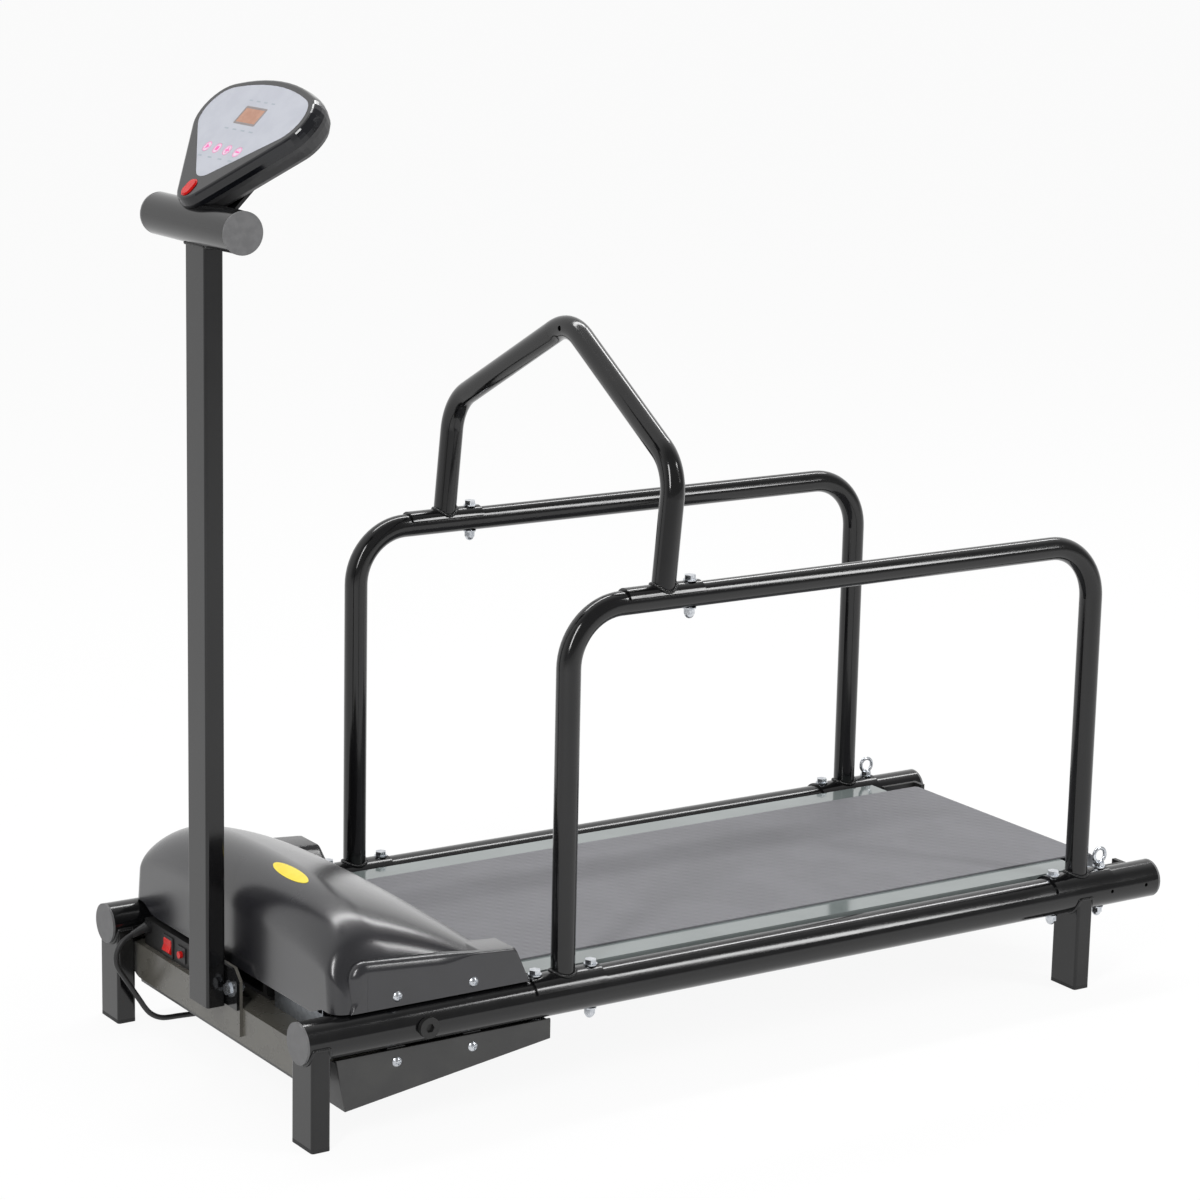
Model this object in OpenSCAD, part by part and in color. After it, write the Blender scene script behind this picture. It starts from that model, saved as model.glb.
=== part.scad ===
/* [Side rails and legs] */
// Length of the two round side rails
rail_l = 1300; // [1100:10:1600]
// Outer diameter of the side rails
rail_d = 50.8; // [45:0.1:60]
// Wall of the round rails
rail_wall = 2; // [1.5:0.1:3]
// Height of the rail axes above the floor
rail_z = 129; // [120:1:150]
// Leg section along the length
leg_x = 25; // [20:1:30]
// Leg section across the width
leg_y = 50; // [40:1:50]
// Wall of the rectangular tubes
box_wall = 2; // [1.5:0.1:3]
// Setback of the front legs from the rail front ends
front_leg_in = 3; // [1:1:5]
// Setback of the rear legs from the rail rear ends
rear_leg_in = 115; // [110:1:130]
// Thickness of the foot caps under the legs
foot_t = 5; // [3:0.5:8]
// Flange thickness of the tube end caps
cap_t = 3; // [2:0.5:5]
// Depth of the end cap plugs inside a tube
cap_plug = 14; // [8:1:25]

/* [Belt, deck and rollers] */
// Deck surface left free on each side of the running belt
belt_margin = 43; // [41:1:59]
// Thickness of the running belt
belt_t = 2; // [1.5:0.1:3]
// Diameter of the rollers
roller_d = 44; // [40:1:46]
// Wall of the roller tubes
roller_wall = 2; // [1.5:0.1:2.5]
// Setback of the drive roller axis from the rail front ends
drive_roller_x = 157; // [150:1:165]
// Setback of the rear roller axis from the rail rear ends
rear_roller_in = 52; // [48:1:60]
// Distance that a roller stands out past the belt on each side
roller_side = 2; // [1:0.5:4]
// Diameter of the fixed roller axles
axle_d = 17; // [14:0.5:18]
// Width of the roller bearings
bearing_w = 12; // [8:1:14]
// Thickness of the deck board
deck_t = 15; // [12:1:18]
// Width of the deck board
deck_w = 458; // [440:1:480]
// Gap between the deck board and each side rail
deck_side = 1.6; // [1:0.1:12]
// Distance from the drive roller axis to the front edge of the deck
deck_front_gap = 48; // [44:1:60]
// Distance from the rear edge of the deck to the rear roller axis
deck_rear_gap = 43; // [40:1:60]
// Thickness of the rubber deck cushions
cushion_t = 3; // [2:0.5:5]
// Diameter of the deck cushions
cushion_d = 26; // [18:1:28]
// Deck cross tube section along the length
cross_x = 30; // [20:1:40]
// Deck cross tube section height
cross_z = 20; // [12:1:20]

/* [Drive] */
// Outer diameter of the ribbed pulley on the drive roller
roller_pulley_d = 72; // [60:1:76]
// Outer diameter of the ribbed pulley on the motor
motor_pulley_d = 26; // [22:1:32]
// Width of both pulleys
pulley_w = 20; // [16:1:22]
// Distance from the belt edge to the roller pulley
pulley_gap = 10; // [8:1:12]
// Number of ribs on each pulley
rib_count = 6; // [4:1:7]
// Depth of a rib groove
rib_depth = 2.4; // [1.5:0.1:3]
// Thickness of the ribbed drive belt
drive_belt_t = 3; // [2:0.5:4]
// Diameter of the motor
motor_d = 76; // [66:1:78]
// Length of the motor
motor_l = 150; // [120:1:170]
// Setback of the motor axis from the rail front ends
motor_x = 100; // [98:1:102]
// Height of the motor axis above the rail axes
motor_up = 36; // [34:1:44]
// Diameter of the motor shaft
shaft_d = 12; // [10:0.5:14]
// Depth of the motor shaft inside the motor
shaft_in = 30; // [20:1:40]

/* [Hood and lower pan] */
// Setback of the hood front wall
hood_front_x = 41.5; // [41:0.5:46]
// Setback of the hood rear lip
hood_rear_x = 309; // [303:1:310]
// Height of the hood crest above the floor
hood_top_z = 272; // [262:0.5:285]
// Distance of the hood sides outside the rail axes
hood_over = 8.5; // [8:0.1:8.8]
// Radius of the rolled front crest
hood_roll_r = 36; // [30:1:44]
// Radius of its roof from the roll to the rear lip
hood_roof_r = 580; // [500:10:800]
// Radius of the crown across the hood
hood_crown_r = 2500; // [1800:50:4000]
// Radius of the upright front corners
hood_corner_r = 19; // [16:1:30]
// Height of the hood front lip above the rail axes
hood_lip_up = 16; // [14:0.5:20]
// Height of the hood rear lip over the belt
hood_rear_up = 7; // [5:0.5:10]
// Gap between the hood side skirt and the rail top
skirt_gap = 1.6; // [1:0.1:3]
// Wall of the hood and the pan
cover_wall = 3; // [2:0.25:4]
// Distance of the side bands and the pan sides outside the rail axes
cover_out = 12; // [12:0.5:16]
// Height of the side band above the rail top at its front end
band_h = 61; // [55:1:64]
// Fall of the side band top towards the rear
band_fall = 15; // [8:1:18]
// Setback of the front end of the side band
band_x = 62; // [58:1:70]
// Radius of the rounded front end of the side band
band_r = 22; // [15:1:28]
// Width of the flat ears at the rear corners
ear_w = 46; // [36:1:52]
// Setback of the front end of the ears
ear_x = 222; // [210:1:235]
// Setback of the rear end of the ear tops
ear_end_x = 287; // [280:1:289]
// Run of the slanted ear ends
ear_slant = 20; // [14:1:20]
// Lowest point of the pan above the floor
pan_low_z = 38; // [32:1:44]
// Setback of the top front corner of the pan
pan_front_x = 42; // [40:1:46]
// Run of the slanted pan front
pan_front_run = 12; // [8:1:18]
// Setback of the pan rear end
pan_rear_x = 337; // [335:1:345]
// Height of the pan rear wall
pan_rear_h = 22; // [18:1:30]
// Setback of the first cover screw
screw_x = 124; // [122:1:128]
// Distance between the two cover screws of a side
screw_pitch = 104; // [98:1:108]
// Distance of the hood screws above the rails
screw_up = 13.6; // [11:0.2:15]
// Distance of the pan screws below the rails
screw_down = 16.2; // [14:0.2:18]
// Thickness of the welded cover tabs
tab_t = 5; // [3:0.5:5]
// Width of the welded cover tabs
tab_w = 24; // [18:1:30]
// Diameter of the cover screws
screw_d = 6; // [5:0.5:6]

/* [Front apron and switch panel] */
// Sheet thickness of the front apron
apron_t = 3; // [2:0.5:4]
// Setback of the apron front face
apron_x = 32; // [32:0.5:34]
// Height of the apron front face
apron_h = 45; // [38:1:50]
// Radius of the lower apron corners
apron_r = 32; // [15:1:38]
// Depth of the apron ledge under the motor
ledge_d = 94; // [92:1:95]
// Setback of the switch panel
panel_x = 40; // [39:0.5:41]
// Height of the switch panel
panel_h = 34; // [33:1:36]
// Sheet thickness of the switch panel
panel_t = 2; // [1.5:0.5:2.5]
// Offset of the inner end of the switch panel from the middle
panel_y0 = 66; // [62:1:80]
// Distance of the outer end of the switch panel inside the rail axis
panel_in = 28; // [27:0.5:30]
// Distance of the rocker switch from the outer end of the panel
switch_in = 68; // [63:1:78]
// Width of the rocker
rocker_w = 20; // [16:1:22]
// Swing radius of the rocker
rocker_r = 11; // [10:0.5:11]
// Angle of the rocker faces
rocker_tilt = 9; // [6:0.5:10]
// Distance between the rocker switch and the overload breaker
breaker_pitch = 38; // [34:1:45]
// Side of the breaker housing
breaker_w = 20; // [16:1:22]
// Diameter of the breaker button
breaker_d = 9; // [7:0.5:10]
// Travel of the breaker button
breaker_travel = 1.5; // [1:0.1:2]

/* [Post and handle] */
// Post section along the length
post_x = 25; // [20:1:25]
// Post section across the width
post_y = 50; // [40:1:50]
// Height of the post foot above the floor
post_foot_z = 100; // [95:1:102]
// Thickness of the post foot plate and of its bracket
plate_t = 4; // [3:0.5:4]
// Width of the post foot plate
plate_w = 108; // [100:1:112]
// Height of the post foot plate
plate_h = 50; // [44:1:54]
// Distance between the two post bolts
post_bolt_pitch = 76; // [70:1:84]
// Height of the handle axis above the floor
handle_z = 1050; // [950:5:1150]
// Setback of the handle axis
handle_x = 7; // [6:0.5:12]
// Length of the handle with its caps
handle_l = 213; // [190:1:240]

/* [Console] */
// Lean of the console face from upright
console_tilt = 45; // [42:1:48]
// Height of the console face datum above the handle axis
console_up = 56; // [55:0.5:58]
// Depth of the bezel
bezel_d = 16; // [15:0.5:17]
// Depth of the back shell
shell_d = 26; // [24:1:30]
// Wall of the back shell
shell_wall = 3; // [2.5:0.25:3.5]
// Thickness of the face overlay
overlay_t = 1.2; // [0.8:0.1:1.6]
// Thickness of the bezel plate under the overlay
face_t = 2.4; // [2:0.1:3]
// Width of the console across its corner centres
console_w = 168; // [160:1:172]
// Length from the tip centre to the corner centres
console_h = 99; // [95:1:104]
// Radius of the console tip
tip_r = 36; // [34:0.5:37]
// Radius of the upper console corners
corner_r = 44; // [42:0.5:46]
// Rise of the top edge above the corner centres
top_rise = 57; // [55:0.5:60]
// Diameter of the four keys
key_d = 15; // [12:0.5:16]
// Distance between the keys
key_pitch = 25; // [22:0.5:26]
// Travel of the keys
key_travel = 0.8; // [0.5:0.1:1]
// Height of the key row on the face
key_row = 40; // [38:0.5:44]
// Width of the display window
window_w = 46; // [36:1:52]
// Height of the display window
window_h = 22; // [16:1:26]
// Height of the window centre on the face
window_b = 92; // [84:1:98]
// Length of the safety key head
safety_l = 25; // [20:0.5:26]
// Width of the safety key head
safety_w = 19; // [15:0.5:20]

/* [Guards and arch] */
// Outer diameter of the guard and arch tubes
guard_d = 30; // [27:0.5:32]
// Wall of the guard and arch tubes
guard_wall = 1.5; // [1.2:0.1:2.5]
// Setback of the front guard legs from the rail front ends
guard_front_x = 361; // [358:1:372]
// Setback of the rear guard legs from the rail rear ends
guard_rear_in = 126; // [122:1:135]
// Height of the guard top bars above the floor
guard_z = 604; // [520:5:700]
// Bend radius of the guard corners
guard_bend = 72; // [50:1:90]
// Thickness of the saddles
saddle_t = 3; // [2:0.25:4]
// Length of the saddles
saddle_l = 100; // [94:1:110]
// Angle that a saddle wraps around its tube
saddle_wrap = 130; // [110:5:135]
// Distance of the saddle bolts from the tube axis
bolt_off = 40; // [36:0.5:41]
// Setback of the arch from the front guard legs
arch_off = 132; // [130:1:170]
// Slope angle of the arch roof
arch_slope = 29; // [22:1:34]
// Height of the arch apex axis above the guard bars
arch_rise = 301; // [260:1:340]
// Lean of the arch towards the rear
arch_lean = 5; // [0:0.5:6]
// Bend radius of the arch shoulders and apex
arch_bend = 62; // [45:1:80]
// Diameter of the leash hole through the arch apex
leash_d = 7; // [5:0.5:9]

/* [Fasteners] */
// Diameter of the guard, arch and post bolts
bolt_d = 8; // [6:0.5:8]
// Width across flats of the bolt heads
bolt_af = 13; // [11:0.5:14]
// Height of the bolt heads
bolt_head = 5.3; // [4:0.1:6.5]
// Diameter of the bolt washers
washer_d = 17; // [15:0.5:20]
// Thickness of the washers
washer_t = 1.6; // [1:0.1:2]
// Diameter of the axle bolt heads
axle_head_d = 26; // [20:0.5:28]
// Height of the axle bolt heads
axle_head_h = 6; // [4:0.5:8]
// Diameter of the axle bolt shanks
axle_bolt_d = 10; // [8:0.5:10]

/* [Mains lead] */
// Diameter of the lead
cord_d = 7; // [6.5:0.1:7]
// Length of the strain relief boot
boot_l = 20; // [20:0.5:22]
// Downward lean of the strain relief boot
boot_lean = 20; // [18:1:22]
// Distance of the cord gland from the outer end of the panel
gland_in = 14; // [12:0.5:16]
// Bend radius of the lead below its boot
lead_turn = 29; // [28:0.5:31]

/* [Hidden] */
$fn = 48;

// Finishes
gloss_black = "#26262a";
satin_black = "#1b1b1d";
moulded_grey = "#3c3d40";
cap_grey = "#6a6a6c";
zinc = "#c9ccd0";
rubber_black = "#18181a";
belt_grey = "#4a4a4d";
board_grey = "#6f7878";
cast_grey = "#8b8e92";
face_blue = "#ccd0d9";
window_tan = "#9a6a48";
signal_red = "#d8322a";
rose = "#e58bb4";

// Named clearances
seat = 0.1;
slip = 0.3;
run = 0.05;
drill = 0.3;
over = 1;

// Places along the length: every setback counts from the rail front ends
bar_reach = rail_d / 2 - handle_x;
overall_l = bar_reach + rail_l + cap_t;
rail_x0 = bar_reach - overall_l / 2;
rail_gauge = deck_w + rail_d + 2 * deck_side;
side_y = rail_gauge / 2;
rail_r = rail_d / 2;
rail_top = rail_z + rail_r;
rail_low = rail_z - rail_r;
rear_leg_x = rail_l - rear_leg_in - leg_x;
guard_rear_x = rail_l - guard_rear_in;
guard_xs = [guard_front_x, guard_rear_x];
rear_roller_x = rail_l - rear_roller_in;
arch_x = guard_front_x + arch_off;

// Heights of the belt and deck stack
roller_r = roller_d / 2;
belt_in_r = roller_r + slip;
belt_out_r = belt_in_r + belt_t;
belt_top = rail_z + belt_out_r;
deck_top = rail_z + roller_r;
deck_x0 = drive_roller_x + deck_front_gap;
deck_x1 = rear_roller_x - deck_rear_gap;
cross_top = deck_top - deck_t - cushion_t;
cross_inset = 90;
cross_xs = [deck_x0 + cross_inset, (deck_x0 + deck_x1) / 2, deck_x1 - cross_inset];
inner_half = side_y - rail_r - seat;

// Drive train places, seen from the right side
belt_w = deck_w - 2 * belt_margin;
roller_half = belt_w / 2 + roller_side;
pulley_y0 = belt_w / 2 + pulley_gap;
pulley_y1 = pulley_y0 + pulley_w;
roller_end = pulley_y1 + roller_side;
motor_z = rail_z + motor_up;
motor_y1 = 105;
motor_y0 = motor_y1 - motor_l;
ledge_z = rail_low - seat;

// Hood profile: upright front, rolled crest, straight slope to the rear lip
hood_half = side_y + hood_over;
cover_half = side_y + cover_out;
skirt_z = rail_top + skirt_gap;
hood_lip_z = rail_z + hood_lip_up;
hood_rear_z = belt_top + hood_rear_up;
band_top = rail_top + band_h;
hood_boss_l = 3.5;
hood_tab_y = hood_half - cover_wall - hood_boss_l;
pan_tab_y = cover_half - cover_wall - seat;
pan_side_top = rail_low - 2 * slip;
pan_top = ledge_z - apron_t - slip;
pan_rear_z = pan_top - pan_rear_h;
pan_low_x = pan_front_x + pan_front_run;
cover_screw_xs = [screw_x, screw_x + screw_pitch];
cover_screw_zs = [rail_top + screw_up, rail_low - screw_down];

// Rocker and breaker places
panel_y1 = side_y - panel_in;
switch_y = panel_y1 - switch_in;
breaker_y = switch_y - breaker_pitch;
gland_y = panel_y1 - gland_in;
panel_z0 = ledge_z;
switch_z = panel_z0 + 16;
rocker_x = panel_x + 4;
switch_bezel_t = 2;
switch_bezel = 27;
switch_body_d = 18;
breaker_z = switch_z;
button_out = 4;

// Post stack: post, foot plate, bracket and apron stand back to back
post_x1 = apron_x - 2 * plate_t;
post_x0 = post_x1 - post_x;
plate_z0 = post_foot_z + 2;
post_bolt_z = plate_z0 + plate_h / 2 - 1;
bracket_drop = 34;
plate_cut = 14;

// Console outline: two corner circles, a tip circle and a shallow top arc
console_x = handle_x;
console_z = handle_z + console_up;
tip_b = -4;
corner_b = tip_b + console_h;
corner_y = console_w / 2;
outline_n = 10;
face_inset = 6;
overlay_tip_b = 24;
overlay_tip_r = 26;
overlay_in = 12;
board_n = -bezel_d + 4;
board_t = 1.6;
board_inset = 26;
shell_n = -bezel_d - shell_d;
key_ys = [for (i = [0:3]) (1.5 - i) * key_pitch];
safety_b = -20;
safety_floor = -8;
safety_rise = 10;
safety_stem_d = 8;
safety_stem_l = 7;

// Guard and arch bends
guard_r = guard_d / 2;
arch_apex_z = guard_z + arch_rise;
arch_eave_z = arch_apex_z - side_y * tan(arch_slope);
leash_up = arch_rise - arch_bend / cos(arch_slope) + arch_bend;
leash_x = arch_x + leash_up * sin(arch_lean);
leash_z = guard_z + leash_up * cos(arch_lean);
arch_saddle_l = saddle_l + 8;
arch_saddle_x = arch_x - 1;

// Route of the lead from the boot to the coil, in setback, offset and height
cord_r = cord_d / 2;
cord_floor = cord_r + 0.1;
gland_z = panel_z0 + 26;
gland_nut_d = 15;
gland_nut_l = 6;
boot_r = 6.4;
boot_start = [panel_x - gland_nut_l, gland_y, gland_z];
boot_dir = [-cos(boot_lean), 0, -sin(boot_lean)];
boot_end = boot_start + boot_l * boot_dir;
lead_fall = 212.4;
land_turn = 40;
loop_in = boot_end + 4 * boot_dir;
loop_c = [loop_in[0], loop_in[2]] + lead_turn * [sin(boot_lean), -cos(boot_lean)];
loop_end = loop_c + lead_turn * [cos(lead_fall), sin(lead_fall)];
land_z = cord_floor + land_turn * (1 + sin(lead_fall));
land_start = [loop_end[0] + (loop_end[1] - land_z) * tan(lead_fall), land_z];
land_c = [land_start[0] - land_turn * cos(lead_fall), cord_floor + land_turn];
lead_drop = concat(
  arc(loop_c, lead_turn, 90 + boot_lean, lead_fall, 6),
  [for (k = [1:5]) loop_end + k / 6 * (land_start - loop_end)],
  arc(land_c, land_turn, lead_fall, 270, 4)
);
floor_run = [[11.5, 1], [33.5, 4], [58.5, 9], [83.5, 16], [105.5, 26], [123.5, 40], [136.5, 57], [142.5, 76]];
lead_points = concat(
  [for (p = lead_drop) [p[0], gland_y, p[1]]],
  [for (p = floor_run) [land_c[0] + p[0], gland_y - p[1], cord_floor]]
);

// Coil: spirals in on the floor, climbs in the half turn where it reverses, spirals out on top
coil_turns = 2.5;
coil_pitch = cord_d + 0.7;
coil_in_r = 33;
coil_dip = 2;
coil_out_r = coil_in_r + coil_turns * coil_pitch;
coil_start = [land_c[0] + 143.5, gland_y - 96];
coil_c = [coil_start[0] + coil_out_r, coil_start[1]];
coil_steps = 24;
coil_rings = coil_steps * (2 * coil_turns + 0.5);
coil_layer = cord_d + 0.5;

// Plug at the end of the coil
plug_l = 38;
plug_d = 26;
plug_boot_l = 26;
plug_pin_d = 4.8;
plug_pin_l = 19;
plug_pin_gap = 19;

// Shapes that repeat
function arc(c, r, a0, a1, n) = [for (i = [0:n]) c + r * [cos(a0 + (a1 - a0) * i / n), sin(a0 + (a1 - a0) * i / n)]];

module from_front() {
  translate([rail_x0, 0, 0]) children();
}

module on_console() {
  translate([rail_x0 + console_x, 0, console_z]) rotate([0, console_tilt - 90, 0]) children();
}

module rod_x(x0, x1, y, z, d) {
  translate([x0, y, z]) rotate([0, 90, 0]) cylinder(d = d, h = x1 - x0);
}

module rod_y(x, y0, y1, z, d) {
  translate([x, y0, z]) rotate([-90, 0, 0]) cylinder(d = d, h = y1 - y0);
}

module rod_z(x, y, z0, z1, d) {
  translate([x, y, z0]) cylinder(d = d, h = z1 - z0);
}

module hex_z(x, y, z0, z1) {
  translate([x, y, z0]) cylinder(d = bolt_af / cos(30), h = z1 - z0, $fn = 6);
}

module dome_nut(x, y, z) {
  nut_h = 6.5;
  translate([x, y, z - nut_h]) cylinder(d = bolt_af / cos(30), h = nut_h, $fn = 6);
  translate([x, y, z - nut_h]) intersection() {
    sphere(d = bolt_af - 1);
    translate([-bolt_af, -bolt_af, -bolt_af]) cube([2 * bolt_af, 2 * bolt_af, bolt_af]);
  }
}

// Rectangular tube with rounded edges
box_r = box_wall + 1.5;

module rounded(w, h, r) {
  square([w - 2 * r, h], center = true);
  square([w, h - 2 * r], center = true);
  for (a = [-1, 1], b = [-1, 1]) translate([a * (w / 2 - r), b * (h / 2 - r)]) circle(r);
}

module box_section(w, h) {
  difference() {
    rounded(w, h, box_r);
    rounded(w - 2 * box_wall, h - 2 * box_wall, box_r - box_wall);
  }
}

module plate_xz(points, y0, y1) {
  translate([0, y1, 0]) rotate([90, 0, 0]) linear_extrude(y1 - y0) polygon(points);
}

// Side rail with the holes for its bolts and for the axle bolt
module side_rail(s) {
  y = s * side_y;
  difference() {
    rod_x(0, rail_l, y, rail_z, rail_d);
    rod_x(-over, rail_l + over, y, rail_z, rail_d - 2 * rail_wall);
    for (x = guard_xs, k = [-1, 1])
      rod_z(x + k * bolt_off, y, rail_low - over, rail_top + over, bolt_d + 2 * drill);
    rod_y(drive_roller_x, y - rail_d, y + rail_d, rail_z, axle_bolt_d + 2 * drill);
    rail_rear_holes(s);
  }
}

module rail_rear_holes(s) {
  hole_d = 5;
  hole_pitch = 60;
  y = s * side_y;
  for (k = [-0.5, 0.5])
    rod_y(rear_roller_x + k * hole_pitch, min(y, y + s * rail_d), max(y, y + s * rail_d), rail_z, hole_d);
}

module left_side_rail() {
  color(gloss_black) from_front() side_rail(-1);
}

module right_side_rail() {
  color(gloss_black) from_front() side_rail(1);
}

// Round plug caps in the ends of the rails and of the handle
module end_cap() {
  cylinder(d = rail_d, h = cap_t);
  translate([0, 0, -cap_plug]) difference() {
    cylinder(d = rail_d - 2 * rail_wall - 2 * seat, h = cap_plug + cap_t / 2);
    translate([0, 0, -over]) cylinder(d = rail_d - 4 * rail_wall, h = cap_plug + over);
  }
}

module tube_end_caps() {
  color(cap_grey) from_front() {
    for (s = [-1, 1]) {
      translate([0, s * side_y, rail_z]) rotate([0, -90, 0]) end_cap();
      translate([rail_l, s * side_y, rail_z]) rotate([0, 90, 0]) end_cap();
      translate([handle_x, s * (handle_l / 2 - cap_t), handle_z]) rotate([-90 * s, 0, 0]) end_cap();
    }
  }
}

// Legs of rectangular tube, coped to the rail they are welded under
module leg(x, y) {
  difference() {
    translate([x + leg_x / 2, y, foot_t]) linear_extrude(rail_z - foot_t) box_section(leg_x, leg_y);
    rod_x(x - over, x + leg_x + over, y, rail_z, rail_d + 2 * seat);
  }
}

module front_legs() {
  color(gloss_black) from_front() for (s = [-1, 1]) leg(front_leg_in, s * side_y);
}

module rear_legs() {
  color(gloss_black) from_front() for (s = [-1, 1]) leg(rear_leg_x, s * side_y);
}

module leg_feet() {
  plug_h = 12;
  in = box_wall + seat;
  color(rubber_black) from_front()
    for (x = [front_leg_in, rear_leg_x], s = [-1, 1]) translate([x + leg_x / 2, s * side_y, 0]) {
      linear_extrude(foot_t) rounded(leg_x, leg_y, box_r);
      translate([0, 0, foot_t / 2]) linear_extrude(plug_h) rounded(leg_x - 2 * in, leg_y - 2 * in, box_r - box_wall);
    }
}

// Bent sheet under the rails: front face, ledge for the motor and bracket for the post
module front_apron() {
  face_half = side_y + 1.5;
  ledge_half = side_y - 11;
  ledge_wide = ledge_d - 20;
  face_low = ledge_z - apron_h;
  face = concat(
    [[face_half, ledge_z]],
    [[-face_half, ledge_z]],
    arc([-face_half + apron_r, face_low + apron_r], apron_r, 180, 270, 12),
    arc([face_half - apron_r, face_low + apron_r], apron_r, 270, 360, 12)
  );
  color(gloss_black) from_front() {
    translate([apron_x, 0, 0]) rotate([90, 0, 90]) linear_extrude(apron_t) polygon(face);
    translate([apron_x, -face_half, ledge_z - apron_t]) cube([ledge_wide, 2 * face_half, apron_t]);
    translate([apron_x, -ledge_half, ledge_z - apron_t]) cube([ledge_d, 2 * ledge_half, apron_t]);
    difference() {
      translate([apron_x - plate_t, 0, plate_z0 - bracket_drop]) rotate([90, 0, 90])
        linear_extrude(plate_t) polygon(foot_plate(plate_h + bracket_drop));
      post_bolt_holes();
    }
  }
}

function foot_plate(h) = [
  [-plate_w / 2, 0], [plate_w / 2, 0], [plate_w / 2, h - plate_cut],
  [plate_w / 2 - plate_cut, h], [plate_cut - plate_w / 2, h], [-plate_w / 2, h - plate_cut]
];

module post_bolt_holes() {
  for (s = [-1, 1])
    rod_x(post_x0, apron_x + over, s * post_bolt_pitch / 2, post_bolt_z, bolt_d + 2 * drill);
}

// Deck: cross tubes between the rails, rubber cushions and the board
module deck_cross_tubes() {
  color(satin_black) from_front() for (x = cross_xs)
    translate([x, inner_half, cross_top - cross_z / 2]) rotate([90, 0, 0])
      linear_extrude(2 * inner_half) box_section(cross_x, cross_z);
}

module deck_cushions() {
  cushion_y = inner_half - 30;
  color(rubber_black) from_front()
    for (x = cross_xs, k = [-1, 0, 1]) rod_z(x, k * cushion_y, cross_top, cross_top + cushion_t, cushion_d);
}

module deck_board() {
  color(board_grey) from_front()
    translate([deck_x0, -deck_w / 2, deck_top - deck_t]) cube([deck_x1 - deck_x0, deck_w, deck_t]);
}

// Endless running belt round both rollers
module stadium(r) {
  circle(r);
  translate([rear_roller_x - drive_roller_x, 0]) circle(r);
  translate([0, -r]) square([rear_roller_x - drive_roller_x, 2 * r]);
}

module running_belt() {
  color(belt_grey) from_front()
    translate([drive_roller_x, belt_w / 2, rail_z]) rotate([90, 0, 0]) linear_extrude(belt_w)
      difference() {
        stadium(belt_out_r);
        stadium(belt_in_r);
      }
}

// Fixed axles, their bolts and the rear brackets
module front_axle() {
  thread_l = 30;
  color(zinc) from_front() difference() {
    rod_y(drive_roller_x, -inner_half, inner_half, rail_z, axle_d);
    for (s = [-1, 1])
      rod_y(drive_roller_x, s > 0 ? inner_half - thread_l : -inner_half - over,
            s > 0 ? inner_half + over : thread_l - inner_half, rail_z, axle_bolt_d + 2 * run);
  }
}

module axle_bolts() {
  reach = 22;
  socket_af = 10;
  socket_l = 4;
  color(satin_black) from_front() for (s = [-1, 1])
    translate([drive_roller_x, s * (side_y + rail_r), rail_z]) rotate([-90 * s, 0, 0]) difference() {
      union() {
        translate([0, 0, -rail_d - reach]) cylinder(d = axle_bolt_d, h = rail_d + reach + seat);
        translate([0, 0, seat]) cylinder(d = axle_head_d, h = axle_head_h);
      }
      translate([0, 0, seat + axle_head_h - socket_l]) cylinder(d = socket_af / cos(30), h = socket_l + over, $fn = 6);
    }
}

module rear_axle() {
  color(zinc) from_front() rod_y(rear_roller_x, -inner_half, inner_half, rail_z, axle_d);
}

lug_t = 6;
lug_w = 16;
bracket_t = 6;
bracket_front = 24;
bracket_rear = 38;
bracket_h = 34;

module rear_axle_brackets() {
  slot_run = 6;
  lug_x = rear_roller_x + bracket_rear - lug_t;
  color(satin_black) from_front() for (s = [-1, 1]) difference() {
    union() {
      translate([rear_roller_x - bracket_front, s > 0 ? inner_half - bracket_t : -inner_half, rail_z - bracket_h / 2])
        cube([bracket_front + bracket_rear, bracket_t, bracket_h]);
      translate([lug_x, s > 0 ? inner_half - bracket_t - lug_w : bracket_t - inner_half, rail_z - bracket_h / 2])
        cube([lug_t, lug_w, bracket_h]);
    }
    rod_y(rear_roller_x, -rail_gauge, rail_gauge, rail_z, axle_d + 2 * seat);
    rod_y(rear_roller_x - slot_run, -rail_gauge, rail_gauge, rail_z, axle_d + 2 * seat);
    translate([rear_roller_x - slot_run, -rail_gauge, rail_z - axle_d / 2 - seat])
      cube([slot_run, 2 * rail_gauge, axle_d + 2 * seat]);
    rod_x(lug_x - over, lug_x + lug_t + over, s * tension_y(), rail_z, bolt_d + 2 * seat);
  }
}

function tension_y() = inner_half - bracket_t - lug_w / 2;

module tension_bolts() {
  x0 = rear_roller_x + axle_d / 2 + seat;
  x1 = rear_roller_x + bracket_rear;
  color(zinc) from_front() for (s = [-1, 1]) {
    rod_x(x0, x1 + over, s * tension_y(), rail_z, bolt_d);
    translate([x1, s * tension_y(), rail_z]) rotate([0, 90, 0])
      cylinder(d = bolt_af / cos(30), h = bolt_head, $fn = 6);
  }
}

// Rollers turn on bearings on the fixed axles
module roller_tube(x, y0, y1) {
  difference() {
    rod_y(x, y0, y1, rail_z, roller_d);
    rod_y(x, y0 - over, y1 + over, rail_z, roller_d - 2 * roller_wall);
  }
}

module bearing(x, y0) {
  difference() {
    rod_y(x, y0, y0 + bearing_w, rail_z, roller_d - 2 * roller_wall - 2 * seat);
    rod_y(x, y0 - over, y0 + bearing_w + over, rail_z, axle_d + 2 * run);
  }
}

module drive_roller() {
  color(zinc) from_front() roller_tube(drive_roller_x, -roller_half, roller_end);
}

module drive_roller_bearings() {
  color(cast_grey) from_front() {
    bearing(drive_roller_x, -roller_half);
    bearing(drive_roller_x, roller_end - bearing_w);
  }
}

module rear_roller() {
  color(zinc) from_front() roller_tube(rear_roller_x, -roller_half, roller_half);
}

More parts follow.
